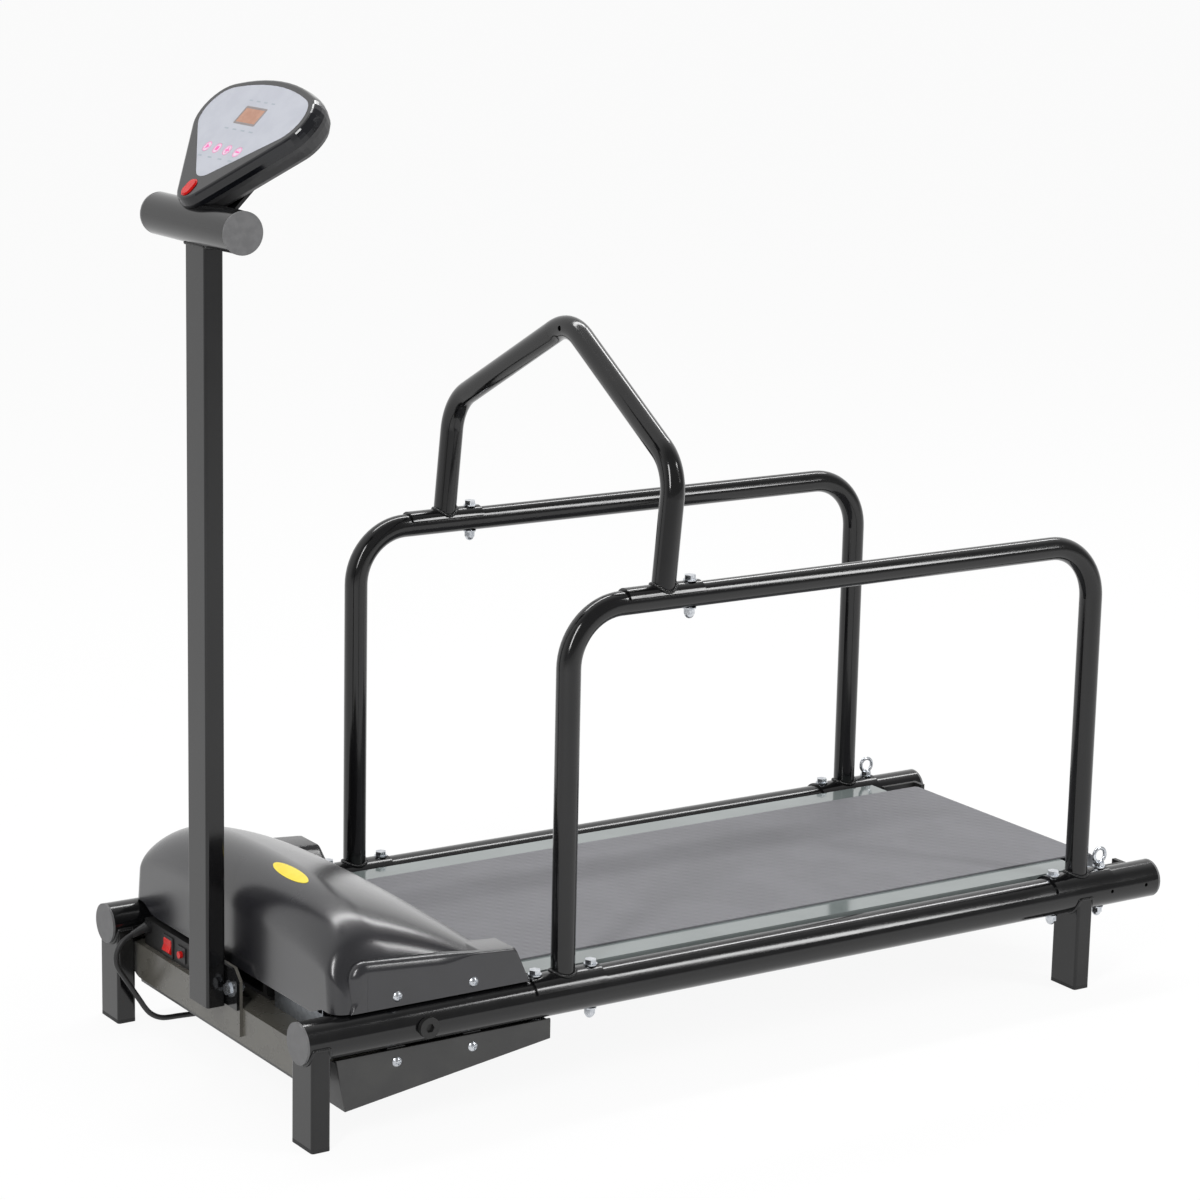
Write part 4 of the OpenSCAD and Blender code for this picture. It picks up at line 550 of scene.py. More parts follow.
@dataclass(frozen=True)
class SoftBox:
    """Soft box lamp.

    Attributes:
        name: Lamp name.
        place: Where it hangs, in metres.
        target: What it points at.
        size: Width and height of its window.
        power: Watts.
    """

    name: str
    place: Point
    target: Point
    size: Pair
    power: float

    def build(self) -> None:
        """Hangs the lamp."""
        light = bpy.data.lights.new(self.name, "AREA")
        light.shape = "RECTANGLE"
        light.size, light.size_y = self.size
        light.energy = self.power
        made = bpy.data.objects.new(self.name, light)
        aim = Vector(self.target) - Vector(self.place)
        turn = aim.to_track_quat("-Z", "Y").to_matrix().to_4x4()
        made.matrix_world = Matrix.Translation(self.place) @ turn
        bpy.context.scene.collection.objects.link(made)


@dataclass
class Studio:
    """Pale floor, white backdrop in a dimmer room, and soft lamps.

    Attributes:
        floor_half: Half the floor's side, in metres.
        floor_colour: The floor's paper, sRGB hex.
        floor_white: Share of plain white in the floor where it stands for the backdrop.
        floor_span: Y on the floor where the room's level ends and where the backdrop's white begins.
        surround: Strength of the surround for light that reaches matte surfaces.
        surround_span: The same two ends in the surround, as the Y of a direction.
        room: Strength that gloss sees on the room's side, away from the backdrop.
        lamps: The soft boxes.
    """

    floor_half: float = 60.0
    floor_colour: str = "f4f4f4"
    floor_white: float = 0.92
    floor_span: Pair = (-1.6, 0.2)
    surround: float = 0.55
    surround_span: Pair = (-0.35, 0.35)
    room: float = 0.3
    lamps: Tuple[SoftBox, ...] = (
        SoftBox("left_softbox", (-3.2, -2.2, 2.6), (0.0, 0.0, 0.45), (0.5, 2.4), 75),
        SoftBox("right_softbox", (2.6, -3.0, 2.8), (0.1, 0.0, 0.4), (0.5, 2.4), 60),
        SoftBox("top_softbox", (1.2, 1.3, 3.3), (1.2, 0.0, 0.2), (4.6, 0.4), 70),
    )

    def seen(self, tree: bpy.types.NodeTree, place: bpy.types.NodeSocket, span: Pair,
             matte: float) -> bpy.types.NodeSocket:
        """Adds the nodes of a white stage.

        It is white to the camera, white to dim for gloss and glass, and weak for the rest.

        Args:
            tree: Node tree that needs the answer.
            place: A direction or a place, whose Y runs from the room to the backdrop.
            span: Y where the room's level ends and where the backdrop's white begins.
            matte: Level for all other rays.

        Returns:
            The level.
        """
        path = add(tree, "LightPath").outputs
        y = add(tree, "SeparateXYZ", {}, {0: place}).outputs["Y"]
        stage = add(tree, "MapRange", {"interpolation_type": "SMOOTHSTEP"},
                    {0: y, 1: span[0], 2: span[1], 3: self.room, 4: 1.0}).outputs[0]
        shine = add(tree, "Math", {"operation": "ADD", "use_clamp": True},
                    {0: path["Is Glossy Ray"], 1: path["Is Transmission Ray"]}).outputs[0]
        level = add(tree, "Mix", {"data_type": "FLOAT"}, {0: shine, 2: matte, 3: stage}).outputs[0]
        whole = add(tree, "Mix", {"data_type": "FLOAT"}, {0: path["Is Camera Ray"], 2: level, 3: 1.0})
        return whole.outputs[0]

    def world(self) -> None:
        """White surround that is weaker for matte surfaces and dims toward the room for gloss."""
        made = bpy.data.worlds.new("white_surround")
        bpy.context.scene.world = made
        made.use_nodes = True
        tree = made.node_tree
        heading = add(tree, "TexCoord").outputs["Generated"]
        level = self.seen(tree, heading, self.surround_span, self.surround)
        tree.links.new(level, tree.nodes["Background"].inputs["Strength"])
        tree.nodes["Background"].inputs["Color"].default_value = WHITE

    def floor(self) -> None:
        """Pale floor that keeps the object's shadow and otherwise shows white."""
        h = self.floor_half
        mesh = bpy.data.meshes.new("studio_floor")
        mesh.from_pydata([(-h, -h, 0), (h, -h, 0), (h, h, 0), (-h, h, 0)], [], [(0, 1, 2, 3)])
        made = bpy.data.objects.new("studio_floor", mesh)
        bpy.context.scene.collection.objects.link(made)
        paper = bpy.data.materials.new("white_paper_floor")
        paper.use_nodes = True
        tree = paper.node_tree
        matte = add(tree, "BsdfDiffuse", {}, {"Color": linear(self.floor_colour)})
        glow = add(tree, "Emission", {}, {"Color": WHITE, "Strength": 1.0})
        place = add(tree, "TexCoord").outputs["Object"]
        level = self.seen(tree, place, self.floor_span, 0.0)
        share = add(tree, "Math", {"operation": "MULTIPLY"}, {0: level, 1: self.floor_white})
        both = add(tree, "MixShader", {}, {0: share.outputs[0], 1: matte.outputs[0], 2: glow.outputs[0]})
        tree.links.new(both.outputs[0], tree.nodes["Material Output"].inputs["Surface"])
        mesh.materials.append(paper)

    def build(self) -> None:
        """Sets up the surround, the floor, the lamps and a plain view transform."""
        bpy.context.scene.view_settings.view_transform = "Standard"
        self.world()
        self.floor()
        for lamp in self.lamps:
            lamp.build()


@dataclass
class PowerLead:
    """Mains lead: from the boot down to the floor, under the frame and into a tied coil with its plug.

    The sizes repeat the route of the part's source: a cubic through the points, then a spiral in on the
    floor, a half turn that climbs, and a spiral out on top.

    Attributes:
        diameter: Thickness of the lead, in millimetres as all the sizes here.
        lean: Downward lean of its boot, in degrees.
        boot_start: Where the boot stands on its nut.
        boot_l: Length of the boot.
        lead_out: Straight length past the boot.
        loop: Radius of the bend below the boot.
        fall: Where that bend ends, as an angle about its middle.
        landing: Radius of the bend on to the floor.
        run: Points along the floor: distance behind the landing, and towards the middle.
        coil_off: The same two distances for the start of the coil.
        turns: Turns of each layer.
        pitch: Distance between turns.
        inner: Radius of the innermost turn.
        dip: How much the climbing half turn draws in.
        climb: Share of a turn that climbs to the upper layer.
        layer: Height of the upper layer above the lower one.
        floor_gap: Gap between the lead and the floor.
        sides: Points round the lead.
        flat_span: Heights between which the lead's section turns from upright to flat on the floor.
        tie_gap: Clearance of the tie from the middles of the inner and the outer turns.
        tie_low: Height of the tie's underside.
        tie_wall: Thickness of the tie.
        tie_turn: Where the tie is on the coil, in degrees.
        tie_half: Half its width without and with its rounded edges, in degrees.
        tie_soft: Share of its thickness that those edges lose.
        tie_power: Exponent of its super-ellipse.
    """

    diameter: float = 7.0
    lean: float = 20.0
    boot_start: Point = (34.0, 214.0, 129.5)
    boot_l: float = 20.0
    lead_out: float = 4.0
    loop: float = 29.0
    fall: float = 212.4
    landing: float = 40.0
    run: Tuple[Pair, ...] = ((11.5, 1), (33.5, 4), (58.5, 9), (83.5, 16), (105.5, 26), (123.5, 40),
                             (136.5, 57), (142.5, 76))
    coil_off: Pair = (143.5, 96.0)
    turns: float = 2.5
    pitch: float = 7.7
    inner: float = 33.0
    dip: float = 2.0
    climb: float = 0.5
    layer: float = 7.5
    floor_gap: float = 0.1
    sides: int = 16
    flat_span: Pair = (45.0, 15.0)
    tie_gap: Pair = (5.0, 4.6)
    tie_low: float = 0.3
    tie_wall: float = 0.9
    tie_turn: float = -60.0
    tie_half: Pair = (6.6, 7.0)
    tie_soft: float = 0.015
    tie_power: float = 0.35

    def low(self) -> float:
        """Height of the lead's middle where it lies on the floor."""
        return self.diameter / 2 + self.floor_gap

    def outer(self) -> float:
        """Radius of the outermost turn."""
        return self.inner + self.turns * self.pitch

    def heading_out(self) -> Array:
        """Direction of the boot."""
        a = math.radians(self.lean)
        return np.array([-math.cos(a), 0.0, -math.sin(a)])

    def exit_point(self) -> Array:
        """Where the lead leaves its boot, in millimetres."""
        return np.array(self.boot_start) + self.boot_l * self.heading_out()

    def landing_middle(self) -> Tuple[Array, Array, Array]:
        """Works out the fall of the lead in the upright plane of its boot.

        Returns:
            The middle of the bend below the boot, the middle of the bend on to the floor, and both ends of
            the straight run between them, each as setback and height.
        """
        lean, fall = math.radians(self.lean), math.radians(self.fall)
        first = (self.exit_point() + self.lead_out * self.heading_out())[[0, 2]]
        upper = first + self.loop * np.array([math.sin(lean), -math.cos(lean)])
        spoke = np.array([math.cos(fall), math.sin(fall)])
        leave = upper + self.loop * spoke
        z = self.low() + self.landing * (1 + math.sin(fall))
        meet = np.array([leave[0] + (leave[1] - z) * math.tan(fall), z])
        return upper, meet - self.landing * spoke, np.stack([leave, meet])

    def route(self) -> Array:
        """Works out the lead from its boot to the coil.

        It is an arc, a straight fall, an arc and a curve on the floor.

        Returns:
            Points in millimetres.
        """
        upper, lower, fall = self.landing_middle()
        share = np.arange(1, 6)[:, None] / 6
        drop = np.vstack([arc(upper, self.loop, 90 + self.lean, self.fall, 7),
                          fall[0] + share * (fall[1] - fall[0]),
                          arc(lower, self.landing, self.fall, 270, 5)])
        y = self.boot_start[1]
        run = np.array(self.run)
        return np.vstack([np.stack([drop[:, 0], np.full(len(drop), y), drop[:, 1]], -1),
                          np.stack([lower[0] + run[:, 0], y - run[:, 1], np.full(len(run), self.low())], -1)])

    def coil_start(self) -> Pair:
        """Setback and offset of the coil's first point."""
        return (float(self.landing_middle()[1][0]) + self.coil_off[0], self.boot_start[1] - self.coil_off[1])

    def coil_entry(self) -> Point:
        """Where the lead comes to the coil, one diameter before its first point."""
        x, y = self.coil_start()
        return (x, y + self.diameter, self.low())

    def coil_middle(self) -> Pair:
        """Setback and offset of the coil's middle."""
        x, y = self.coil_start()
        return (x + self.outer(), y)

    def floor_run(self, steps: int = 8) -> Array:
        """Cubic through the route: a Catmull-Rom spline, cut into equal steps between points.

        Args:
            steps: Steps between two points.

        Returns:
            Points in millimetres.
        """
        p = np.vstack([self.exit_point(), self.route(), self.coil_entry()])
        q = np.vstack([2 * p[0] - p[1], p, 2 * p[-1] - p[-2]])
        h = np.linspace(0, 1, steps, endpoint=False)[None, :, None]
        a, b, c, d = (q[i:len(q) - 3 + i, None] for i in range(4))
        run = b + 0.5 * h * (c - a + h * (2 * a - 5 * b + 4 * c - d + h * (3 * (b - c) + d - a)))
        return run.reshape(-1, 3)

    def coil_run(self, steps: int = 48) -> Array:
        """Coil: radius and height as functions of the turn.

        Args:
            steps: Points in each turn.

        Returns:
            Points in millimetres.
        """
        t = np.arange(int(steps * (2 * self.turns + self.climb)) + 1) / steps
        up = t - self.turns
        spiral_in = self.outer() - self.pitch * t
        drawn_in = self.inner - self.dip * np.sin(math.pi * up / self.climb)
        spiral_out = self.inner + self.pitch * (up - self.climb)
        radius = np.select([up < 0, up < self.climb], [spiral_in, drawn_in], spiral_out)
        z = self.low() + self.layer * smooth(up / self.climb)
        x, y = self.coil_middle()
        a = 2 * math.pi * t
        return np.stack([x - radius * np.cos(a), y - radius * np.sin(a), z], -1)

    def path(self) -> Array:
        """Joins the run to the coil, the coil and a short tail.

        Returns:
            The whole centreline, in metres.
        """
        coil = self.coil_run()
        tail = coil[-1] + (0, self.diameter, 0)
        return setback(np.vstack([self.floor_run(), self.coil_entry(), coil, tail]))

    def tie(self) -> bpy.types.Object:
        """Makes the flat strap round the coil's turns.

        Its section, in the upright plane of the coil's radius, is a super-ellipse: sign(w) * |w|**power of
        the cosine one way and of the sine the other. It is carried along the coil for the tie's width, and
        back one wall inside.

        Returns:
            The strap.
        """
        top = self.low() + self.layer
        least = np.array([self.inner - self.tie_gap[0], self.tie_low])
        most = np.array([self.outer(), top]) + self.tie_gap[1]
        a = angles(64)
        wave = np.stack([np.cos(a), np.sin(a)], -1)
        spoke = (most - least) / 2 * np.sign(wave) * np.abs(wave) ** self.tie_power
        middle = (least + most) / 2
        ring = middle + spoke
        thin = middle + spoke * (1 - self.tie_wall / np.linalg.norm(spoke, axis=1, keepdims=True))
        edge = ring * (1 - self.tie_soft) + thin * self.tie_soft
        plain, wide = self.tie_half
        turn = np.radians(self.tie_turn + np.array([-wide, -plain, plain, wide]))
        turn = np.concatenate([turn, turn[::-1]])[:, None]
        reach, high = np.moveaxis(np.stack([edge, ring, ring, edge] + [thin] * 4), -1, 0)
        x, y = self.coil_middle()
        loop = np.stack([x + reach * np.cos(turn), y + reach * np.sin(turn), high], -1)
        strap = Patch(setback(loop), wrap_rows=True, wrap_cols=True)
        return piece("coil_tie", [strap], RUBBER)

    def build(self) -> None:
        path = self.path()
        upright, flat = self.flat_span
        lying = np.clip((upright - path[:, 2:] / MM) / (upright - flat), 0, 1)
        across = (1 - lying) * (0, 1, 0) + lying * (0, 0, 1)
        radius = np.full(len(path), self.diameter / 2 * MM)
        lead = piece("mains_lead", [tube(path, radius, self.sides, across)], CORD_PVC)
        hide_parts("power_cord", "cord_coil")
        tie = self.tie()


@dataclass
class MotorHood:
    """Moulded hood: a dome over the motor, a band along each side and a flat ear at each rear corner.

    The dome's height above its skirt is a profile along the length times the super-ellipse
    (1 - |v|**n)**(1/n) of the share v of the half width; a crown and a corner radius bend it further.

    Attributes:
        front: Setback of its front face, in millimetres as all the sizes here.
        rear: Setback of its rear lip.
        top: Height of its crest.
        half: Half its width.
        roll: Radius of the crest along the length.
        roof: Radius of the roof from the crest to the rear lip.
        crown: Radius of the crest across the width.
        corner: Radius of the upright front corners.
        power: Exponent n of the super-ellipse.
        draft: How far the end walls lean in, from the skirt to the crest.
        lip: Height of the front lip.
        skirt: Height of the side skirts.
        tail: Height of the rear lip.
        wall: Thickness.
        dip_end: Offset where the front lip, which hangs lower, has come up to the skirts.
        dip_run: Run of that rise.
        crowd: Exponent that crowds the columns of points toward the ends.
        side: Half width over the side bands.
        band_x: Setback of the bands' front ends.
        band_top: Height of the bands there.
        band_r: Radius of those ends.
        band_fall: Fall of the bands to the rear.
        band_lap: How far the bands' tops run in past their rounded edge.
        ear_x: Setback of the ears.
        ear_end: Setback of the rear ends of their tops.
        ear_slant: Run of their slanted ends.
        ear_w: Width of the ears.
        ear_sweep: Run of their sweep down to the roof.
        ear_lead: How far ahead they start to come out of the dome.
        ear_rise: Run and height of that rise.
        ear_turn: Length of their rounded rear corner along the top and along the slant.
        ear_blend: Height over which top and slant run into each other behind that corner.
        ear_below: How far their tops lie below the bands'.
        ear_inset: How far their outer walls lie inside the bands'.
        edge: Radius of the bands' top edge beside the ears.
        brow: Depth and drop of the bands' rounded top edge ahead of the ears.
        brow_fade: How far ahead of the ears the brow starts to shrink to the edge, and over what run.
        disc_run: Where the disc's middle is along the profile, from the front lip.
        disc_y: Offset of its middle.
        disc_half: Half its length along the profile and across it.
        disc_lift: Height of its face and of its underside over the skin.
        crease: Edges of the hood that turn by more than this angle stay sharp, in degrees.
    """

    front: float = 41.5
    rear: float = 309.0
    top: float = 273.8
    half: float = 264.5
    roll: float = 58.0
    roof: float = 441.0
    crown: float = 2800.0
    corner: float = 19.0
    power: float = 5.1
    draft: float = 15.5
    lip: float = 145.0
    skirt: float = 156.0
    tail: float = 160.3
    wall: float = 3.0
    dip_end: float = 238.5
    dip_run: float = 36.0
    crowd: float = 1.6
    side: float = 268.0
    band_x: float = 62.0
    band_top: float = 215.4
    band_r: float = 22.0
    band_fall: float = 15.0
    band_lap: float = 4.5
    ear_x: float = 222.0
    ear_end: float = 287.0
    ear_slant: float = 20.0
    ear_w: float = 46.0
    ear_sweep: float = 34.0
    ear_lead: float = 22.0
    ear_rise: Pair = (40.0, 44.0)
    ear_turn: Pair = (6.0, 7.0)
    ear_blend: float = 4.0
    ear_below: float = 0.05
    ear_inset: float = 3.5
    edge: float = 3.2
    brow: Pair = (11.5, 14.0)
    brow_fade: Pair = (40.0, 54.0)
    disc_run: float = 150.6
    disc_y: float = -75.2
    disc_half: Pair = (10.5, 43.0)
    disc_lift: Pair = (0.5, -0.6)
    crease: float = 50.0

    def profile(self) -> Array:
        """Works out the upright front, the rolled crest and the roof arc from the crest to the rear lip.

        The roof's middle is where two circles meet: roof - roll round the crest's middle, roof round the lip.

        Returns:
            Points as setback and height.
        """
        crest = np.array([self.front + self.roll, self.top - self.roll])
        tail = np.array([self.rear, self.tail])
        reach = np.linalg.norm(tail - crest)
        along = (tail - crest) / reach
        near = self.roof - self.roll
        run = (near ** 2 - self.roof ** 2 + reach ** 2) / (2 * reach)
        middle = crest + run * along + math.sqrt(near ** 2 - run ** 2) * np.array([along[1], -along[0]])
        start, end = (math.degrees(math.atan2(p[1], p[0])) for p in (crest - middle, tail - middle))
        rise = np.linspace(self.lip, crest[1], 16, endpoint=False)
        return np.vstack([np.stack([np.full_like(rise, self.front), rise], -1),
                          arc(crest, self.roll, 180, start, 48),
                          arc(middle, self.roof, start, end, 60)[1:]])

    def skin(self, x: Array, z: Array, y: Array, half: float) -> Array:
        """Finds points of the dome over profile points.

        Their height above the skirt, less the crown y**2 / (2 * radius), is multiplied by the super-ellipse,
        or by a smooth step where the lip hangs below the skirt. The end walls lean in and the front corners
        bend back along a quarter circle.

        Args:
            x: Setback of the profile points.
            z: Their height.
            y: Offset from the middle.
            half: Half the width of this skin.

        Returns:
            Points in millimetres.
        """
        v = np.clip(np.abs(y) / half, 0, 1)
        bend = np.clip((np.abs(y) - half + self.corner) / self.corner, 0, 1)
        shift = self.corner * (1 - np.sqrt(1 - bend ** 2))
        span = self.rear - self.front
        crown = y ** 2 / (2 * self.crown) * np.clip((z - self.tail) / (self.top - self.tail), 0, None)
        share = np.where(z < self.skirt, smooth((self.dip_end - np.abs(y)) / self.dip_run),
                         (1 - v ** self.power) ** (1 / self.power))
        high = self.skirt + (z - crown - self.skirt) * share
        lean = self.draft / half * np.clip((high - self.skirt) / (self.top - self.skirt), 0, 1)
        back = self.rear - (self.rear - x) * (span - shift) / span
        return np.stack(np.broadcast_arrays(back, y * (1 - lean), high), -1)

    def across(self, half: float) -> Array:
        """Offsets across the dome, closer together where it turns down."""
        t = np.linspace(-1, 1, 241)
        return half * np.sign(t) * np.sin(np.abs(t) ** self.crowd * math.pi / 2) ** (2 / self.power)

    def dome(self) -> List[Patch]:
        """Works out the outer skin, the inner skin one wall inside it, and the rims between them.

        Returns:
            Grids that close each other.
        """
        line = self.profile()
        skins = [setback(self.skin(p[:, :1], p[:, 1:], self.across(h)[None], h))
                 for p, h in ((line, self.half), (line + self.wall * inward(line), self.half - self.wall))]
        rims = [np.stack([s[at] for s in skins]) for at in (0, -1, (slice(None), 0), (slice(None), -1))]
        return [Patch(grid) for grid in [skins[0], skins[1][:, ::-1]] + rims]

    def band_z(self, x: Array) -> Array:
        """Height of the top of the side bands and ears."""
        start = self.band_x + self.band_r
        return self.band_top - self.band_fall * (x - start) / (self.ear_end - start)

    def band(self, sign: float) -> Patch:
        """Works out a side band: its outline seen from the side, with a quarter-round edge carried along it.

        The outline is an upright front, an arc, a straight top, a quadratic curve and a slant.

        Args:
            sign: Which side, as the sign of Y.

        Returns:
            A closed grid.
        """
        top, slant = self.ear_turn
        nose = (self.band_x + self.band_r, self.band_top - self.band_r)
        front = np.linspace(self.skirt, nose[1], 12, endpoint=False)
        xs = np.linspace(nose[0], self.ear_end - top, 60)[1:]
        a, b = (np.array([x, self.band_z(x)]) for x in (self.ear_end - top, self.ear_end))
        foot = np.array([self.ear_end + self.ear_slant, self.skirt])
        c = b + slant * unit(foot - b)
        t = np.linspace(0, 1, 12)[1:, None]
        line = np.vstack([np.stack([np.full_like(front, self.band_x), front], -1),
                          arc(nose, self.band_r, 180, 90, 28),
                          np.stack([xs, self.band_z(xs)], -1),
                          (1 - t) ** 2 * a + 2 * t * (1 - t) * b + t ** 2 * c,
                          c + np.linspace(0, 1, 14)[1:, None] * (foot - c)])
        fade = smooth((line[:, 0] - self.ear_x + self.brow_fade[0]) / self.brow_fade[1])
        deep, drop = (size + (self.edge - size) * fade for size in self.brow)
        push = inward(line) * np.clip((line[:, 1:] - self.skirt) / drop[:, None], 0, 1)
        bend = np.linspace(0, math.pi / 2, 12)[:, None]
        ys = np.vstack([self.side - deep - self.band_lap, self.side - deep * (1 - np.sin(bend))])
        ins = np.vstack([np.zeros((1, len(line))), drop * (1 - np.cos(bend))])
        rows = line[None] + ins[..., None] * push[None]
        wall = np.concatenate([rows[:1], rows, rows[-1:]])
        wall[[0, -1], :, 1] = self.skirt
        depth = np.concatenate([ys[:1], ys, ys[-1:]])
        return Patch(setback(np.stack([wall[..., 0], sign * depth, wall[..., 1]], -1)), wrap_rows=True)

    def ear(self, sign: float) -> Patch:
        """Works out a flat ear: its height rises out of the dome, follows the band and falls along a slant.

        Toward the middle it sweeps down by the smooth step of its height.

        Args:
            sign: Which side, as the sign of Y.

        Returns:
            A closed grid.
        """
        x = np.linspace(self.ear_x - self.ear_lead, self.ear_end + self.ear_slant, 90)
        run, climb = self.ear_rise
        level = self.band_z(x) - self.ear_below - climb * (1 - smooth((x - x[0]) / run))
        end_z = self.band_z(self.ear_end)
        slant = end_z - (x - self.ear_end) * (end_z - self.skirt) / self.ear_slant
        gap = np.clip(self.ear_blend - np.abs(level - slant), 0, None)
        high = np.clip(np.minimum(level, slant) - gap ** 2 / (4 * self.ear_blend) - self.skirt, 0, None)
        t = np.linspace(0, 1, 14)
        y = np.concatenate([self.side - self.ear_w - self.ear_sweep * (1 - t),
                            np.full(2, self.side - self.ear_inset)])
        z = self.skirt + high[:, None] * np.concatenate([smooth(t), [1.0, 0.0]])
        grid = np.stack(np.broadcast_arrays(x[:, None], sign * y[None], z), -1)
        return Patch(setback(grid), wrap_cols=True)

    def disc(self) -> Patch:
        """Works out the plain oval disc that lies on the dome.

        Rings of growing share of its half axes lie a hair above the skin, and two more close it underneath.

        Returns:
            A closed grid.
        """
        line = self.profile()
        run = run_along(line)
        share = np.concatenate([np.linspace(0, 1, 14), [1.0, 0.0]])[:, None]
        a = angles(72)[None]
        u = self.disc_run + self.disc_half[0] * share * np.cos(a)
        y = self.disc_y + self.disc_half[1] * share * np.sin(a)
        flat = self.skin(np.interp(u, run, line[:, 0]), np.interp(u, run, line[:, 1]), y, self.half)
        lift = np.repeat(self.disc_lift, (len(share) - 2, 2))[:, None, None]
        slope = np.gradient(line, axis=0)
        ahead = np.array([np.interp(self.disc_run, run, slope[:, k]) for k in (0, 1)])
        up = unit(np.array([-ahead[1], 0.0, ahead[0]]))
        return Patch(setback(flat + lift * up), wrap_cols=True)

    def build(self) -> None:
        """Makes the hood and its disc."""
        parts = self.dome() + [self.band(s) for s in SIDES] + [self.ear(s) for s in SIDES]
        shell = piece("hood_shell", parts, HOOD_ABS, crease=self.crease)
        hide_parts("motor_hood")
        piece("hood_disc", [self.disc()], YELLOW_VINYL)


@dataclass
class ConsoleFace:
    """Print on the console: a frame round the window, a symbol on each key and rows of dashes.

    Attributes:
        origin: Datum of the face: setback, offset and height, in millimetres as all the sizes here.
        tilt: Lean of the face from upright, in degrees.
        film: Thickness of the print.
        window: Half height and half width of the window.
        window_b: Height of the window's middle on the face.
        frame_out: How far the window's frame runs out past the window, and its corner radius there.
        frame_in: How far it runs in over the window, and its corner radius there.
        key_row: Height of the key row on the face.
        key_pitch: Distance between keys.
        key_ring: Outer and inner radius of the ring on each key.
        arrow: Corners of the start key's arrow, as height and offset.
        square: Half the side of the mode key's square, and its corner radius.
        stroke: Half the length and half the width of the strokes of plus and minus.
        stroke_corner: Corner radius of the minus.
        dash: Half height and corner radius of the dashes.
        dash_rows: Height on the face, pitch and half length in each row of dashes.
        marks: Keys in their row, and dashes in each of theirs.
    """

    origin: Point = (7.0, 0.0, 1106.0)
    tilt: float = 45.0
    film: float = 0.12
    window: Pair = (11.0, 23.0)
    window_b: float = 92.0
    frame_out: Pair = (2.6, 2.0)
    frame_in: Pair = (0.4, 0.8)
    key_row: float = 40.0
    key_pitch: float = 25.0
    key_ring: Pair = (7.0, 6.3)
    arrow: Tuple[Pair, ...] = ((4.0, 2.6), (-4.0, 2.6), (0.0, -4.6))
    square: Pair = (3.1, 0.8)
    stroke: Pair = (4.4, 1.1)
    stroke_corner: float = 0.5
    dash: Pair = (1.0, 0.5)
    dash_rows: Tuple[Point, ...] = ((114.0, 18.0, 4.0), (70.0, 20.0, 4.6), (26.0, 25.0, 4.6))
    marks: int = 4

    def spots(self, pitch: float) -> Array:
        """Offsets of a row of marks, evenly about the middle."""
        return pitch * (np.arange(self.marks) - (self.marks - 1) / 2)

    def on_face(self, b: Array, y: Array, n: Array) -> Array:
        """Finds points of the face, which is a plane that leans by the tilt.

        Args:
            b: Height along the face.
            y: Offset across it.
            n: Distance out of it.

        Returns:
            Points in metres.
        """
        a = math.radians(self.tilt)
        up = np.array([math.sin(a), 0.0, math.cos(a)])
        out = np.array([-math.cos(a), 0.0, math.sin(a)])
        b, y, n = (np.asarray(t, float)[..., None] for t in np.broadcast_arrays(b, y, n))
        return setback(np.array(self.origin) + b * up + y * np.array([0.0, 1.0, 0.0]) + n * out)

    def printed(self, outlines: Sequence[Array], middle: Pair) -> Array:
        """Finds the points of a thin print from four outlines, two above the face and two below it.

        Args:
            outlines: Points as height and offset from the middle.
            middle: Where the middle stands on the face.

        Returns:
            A grid with one row for each outline.
        """
        grid = np.stack(outlines) + np.array(middle)
        n = self.film * np.array([1.0, 1.0, -1.0, -1.0])[:, None]
        return self.on_face(grid[..., 0], grid[..., 1], n)

    def flat(self, outline: Array, middle: Pair) -> Patch:
        """Thin print inside an outline that is seen whole from its middle."""
        return Patch(self.printed([0 * outline, outline, outline, 0 * outline], middle), wrap_cols=True)

    def ring(self, outer: Array, inner: Array, middle: Pair) -> Patch:
        """Thin print between two outlines with as many points each."""
        return Patch(self.printed([outer, inner, inner, outer], middle), wrap_rows=True, wrap_cols=True)

    @staticmethod
    def cross(half: float, arm: float) -> Array:
        """Plus sign about the middle, as height and offset."""
        return np.array([(half, arm), (arm, arm), (arm, half), (-arm, half), (-arm, arm), (-half, arm),
                         (-half, -arm), (-arm, -arm), (-arm, -half), (arm, -half), (arm, -arm), (half, -arm)])

    def key_symbols(self) -> None:
        """Makes one symbol in a ring on each key, which moves with it: arrow, square, plus and minus."""
        side, corner = self.square
        length, width = self.stroke
        shapes = {"start": np.array(self.arrow), "mode": rounded((side, side), corner),
                  "faster": self.cross(length, width), "slower": rounded((width, length), self.stroke_corner)}
        a = angles(48)
        outer, inner = (r * np.stack([np.cos(a), np.sin(a)], -1) for r in self.key_ring)
        for (key, shape), y in zip(shapes.items(), -self.spots(self.key_pitch)):
            middle = (self.key_row, y)
            parts = [self.flat(shape, middle), self.ring(outer, inner, middle)]
            piece(f"{key}_symbol", parts, ROSE_INK, body=f"{key}_key")

    def build(self) -> None:
        """Makes the print."""
        outer, inner = (rounded((self.window[0] + grow, self.window[1] + grow), corner)
                        for grow, corner in (self.frame_out, (-self.frame_in[0], self.frame_in[1])))
        window_frame = self.ring(outer, inner, (self.window_b, 0.0))
        piece("window_frame_print", [window_frame], DARK_INK)
        high, corner = self.dash
        dashes = [self.flat(rounded((high, half), corner), (b, y))
                  for b, pitch, half in self.dash_rows for y in self.spots(pitch)]
        piece("face_dashes", dashes, GREY_INK)
        self.key_symbols()


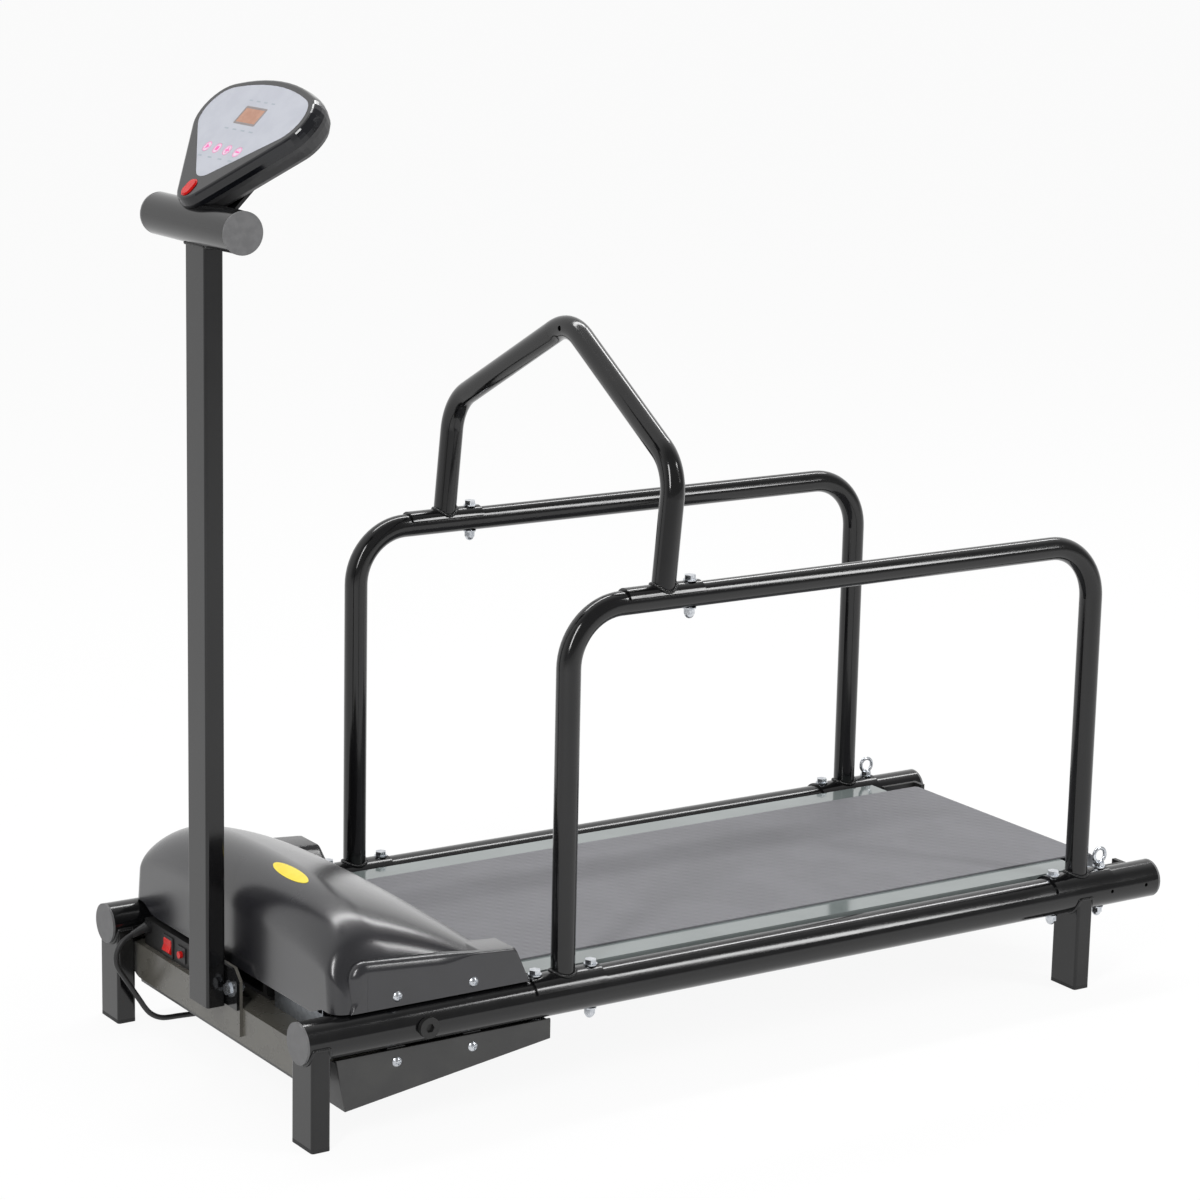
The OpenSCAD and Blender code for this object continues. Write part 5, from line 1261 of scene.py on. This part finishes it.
@dataclass
class Welds:
    """Weld beads where the tubes meet: a round bead with fine ripples carried along each seam.

    Attributes:
        rail: Offset of the rail axes, in millimetres as all the sizes here.
        rail_z: Height of the rail axes.
        rail_r: Radius of the rails and the handle.
        guard_r: Radius of the guard and arch tubes.
        plate: Thickness of the saddles.
        guards: Setbacks of the guard legs.
        guard_z: Height of the guard bars.
        arch: Setback of the arch.
        lean: Lean of the arch, in degrees.
        legs: Setbacks of the front faces of the legs.
        leg: Section of the legs and of the post.
        leg_corner: Corner radius of that section.
        post: Setback of the post's front face.
        handle: Setback and height of the handle axis.
        bead: Radius of a bead.
        ripple: Height of a bead's ripples, as a share of its radius, and their length.
        proud: How far a bead's middle stands out of an upright tube, and of what that stands on.
        least: Least distance below the round tube's axis, where a leg is as wide as that tube.
    """

    rail: float = 256.0
    rail_z: float = 129.0
    rail_r: float = 25.4
    guard_r: float = 15.0
    plate: float = 3.1
    guards: Pair = (361.0, 1174.0)
    guard_z: float = 604.0
    arch: float = 493.0
    lean: float = 5.0
    legs: Pair = (3.0, 1160.0)
    leg: Pair = (25.0, 50.0)
    leg_corner: float = 3.5
    post: float = -1.0
    handle: Pair = (7.0, 1050.0)
    bead: float = 2.3
    ripple: Pair = (0.12, 3.2)
    proud: Pair = (0.6, 0.4)
    least: float = 3.0

    def seam(self, path: Array) -> Patch:
        """Bead along a closed seam, with radius bead * (1 + share * sin(2 pi run / length)) for its ripples.

        Args:
            path: Points of the seam, in millimetres.

        Returns:
            A closed grid.
        """
        ahead = unit(np.roll(path, -1, 0) - np.roll(path, 1, 0))
        side = unit(np.cross(ahead, unit(path - path.mean(0))))
        run = np.cumsum(np.linalg.norm(path - np.roll(path, 1, 0), axis=1))
        share, length = self.ripple
        r = self.bead * (1 + share * np.sin(run * 2 * math.pi / length))
        grid = rings(path, r, 10, side, np.cross(side, ahead))
        return Patch(setback(grid), wrap_rows=True, wrap_cols=True)

    def round_seam(self, x: float, y: float, z: float, seat: float, lean: float) -> Patch:
        """Seam of an upright tube on a tube along X: z = sqrt(seat**2 - (r sin a)**2) at the angle a.

        Args:
            x: Setback of the upright tube.
            y: Offset of both.
            z: Height of the lower tube's axis.
            seat: Radius of the surface that the upright tube stands on.
            lean: Lean of the upright tube to the rear, in degrees.

        Returns:
            A closed grid.
        """
        a = angles(180)
        r = self.guard_r + self.proud[0]
        up = np.sqrt(seat ** 2 - (self.guard_r * np.sin(a)) ** 2) + self.proud[1]
        tip = math.radians(lean)
        back = x + r * np.cos(a) / math.cos(tip) + up * math.tan(tip)
        return self.seam(np.stack([back, y + r * np.sin(a), z + up], -1))

    def box_seam(self, x: float, y: float, axis: Pair, along_x: bool) -> Patch:
        """Seam of a rectangular tube under a round one: the tube's outline, lifted to the round surface.

        Args:
            x: Setback of the rectangular tube's front face.
            y: Offset of its middle.
            axis: Where the round tube's axis is, across its run, and its height.
            along_x: The round tube runs along X, else along Y.

        Returns:
            A closed grid.
        """
        half, gap = np.array(self.leg) / 2, self.proud[1]
        turns = rounded(half + gap, self.leg_corner + gap, 8)
        closed = np.vstack([turns, turns[:1]])
        run = run_along(closed)
        at = np.linspace(0, run[-1], 200, endpoint=False)
        px, py = (np.interp(at, run, closed[:, k]) for k in (0, 1))
        px, py = px + x + half[0], py + y
        off = (py if along_x else px) - axis[0]
        z = axis[1] - np.sqrt(np.clip(self.rail_r ** 2 - off ** 2, self.least ** 2, None)) - gap
        return self.seam(np.stack([px, py, z], -1))

    def build(self) -> None:
        """Makes all the beads as one piece."""
        beads = [self.box_seam(self.post, 0.0, self.handle, False)]
        for y in (side * self.rail for side in SIDES):
            beads += [self.round_seam(x, y, self.rail_z, self.rail_r + self.plate, 0.0) for x in self.guards]
            beads += [self.round_seam(self.arch, y, self.guard_z, self.guard_r + self.plate, self.lean)]
            beads += [self.box_seam(x, y, (y, self.rail_z), True) for x in self.legs]
        piece("weld_beads", beads, GLOSS_PAINT)


def main() -> None:
    """Builds the scene, piece by piece."""
    logging.basicConfig(level=logging.INFO, format="%(name)s: %(message)s")
    PhotoCamera().build()
    PowerLead().build()
    MotorHood().build()
    ConsoleFace().build()
    Welds().build()
    Studio().build()
    dress_nodes()


if __name__ == "__main__":
    main()
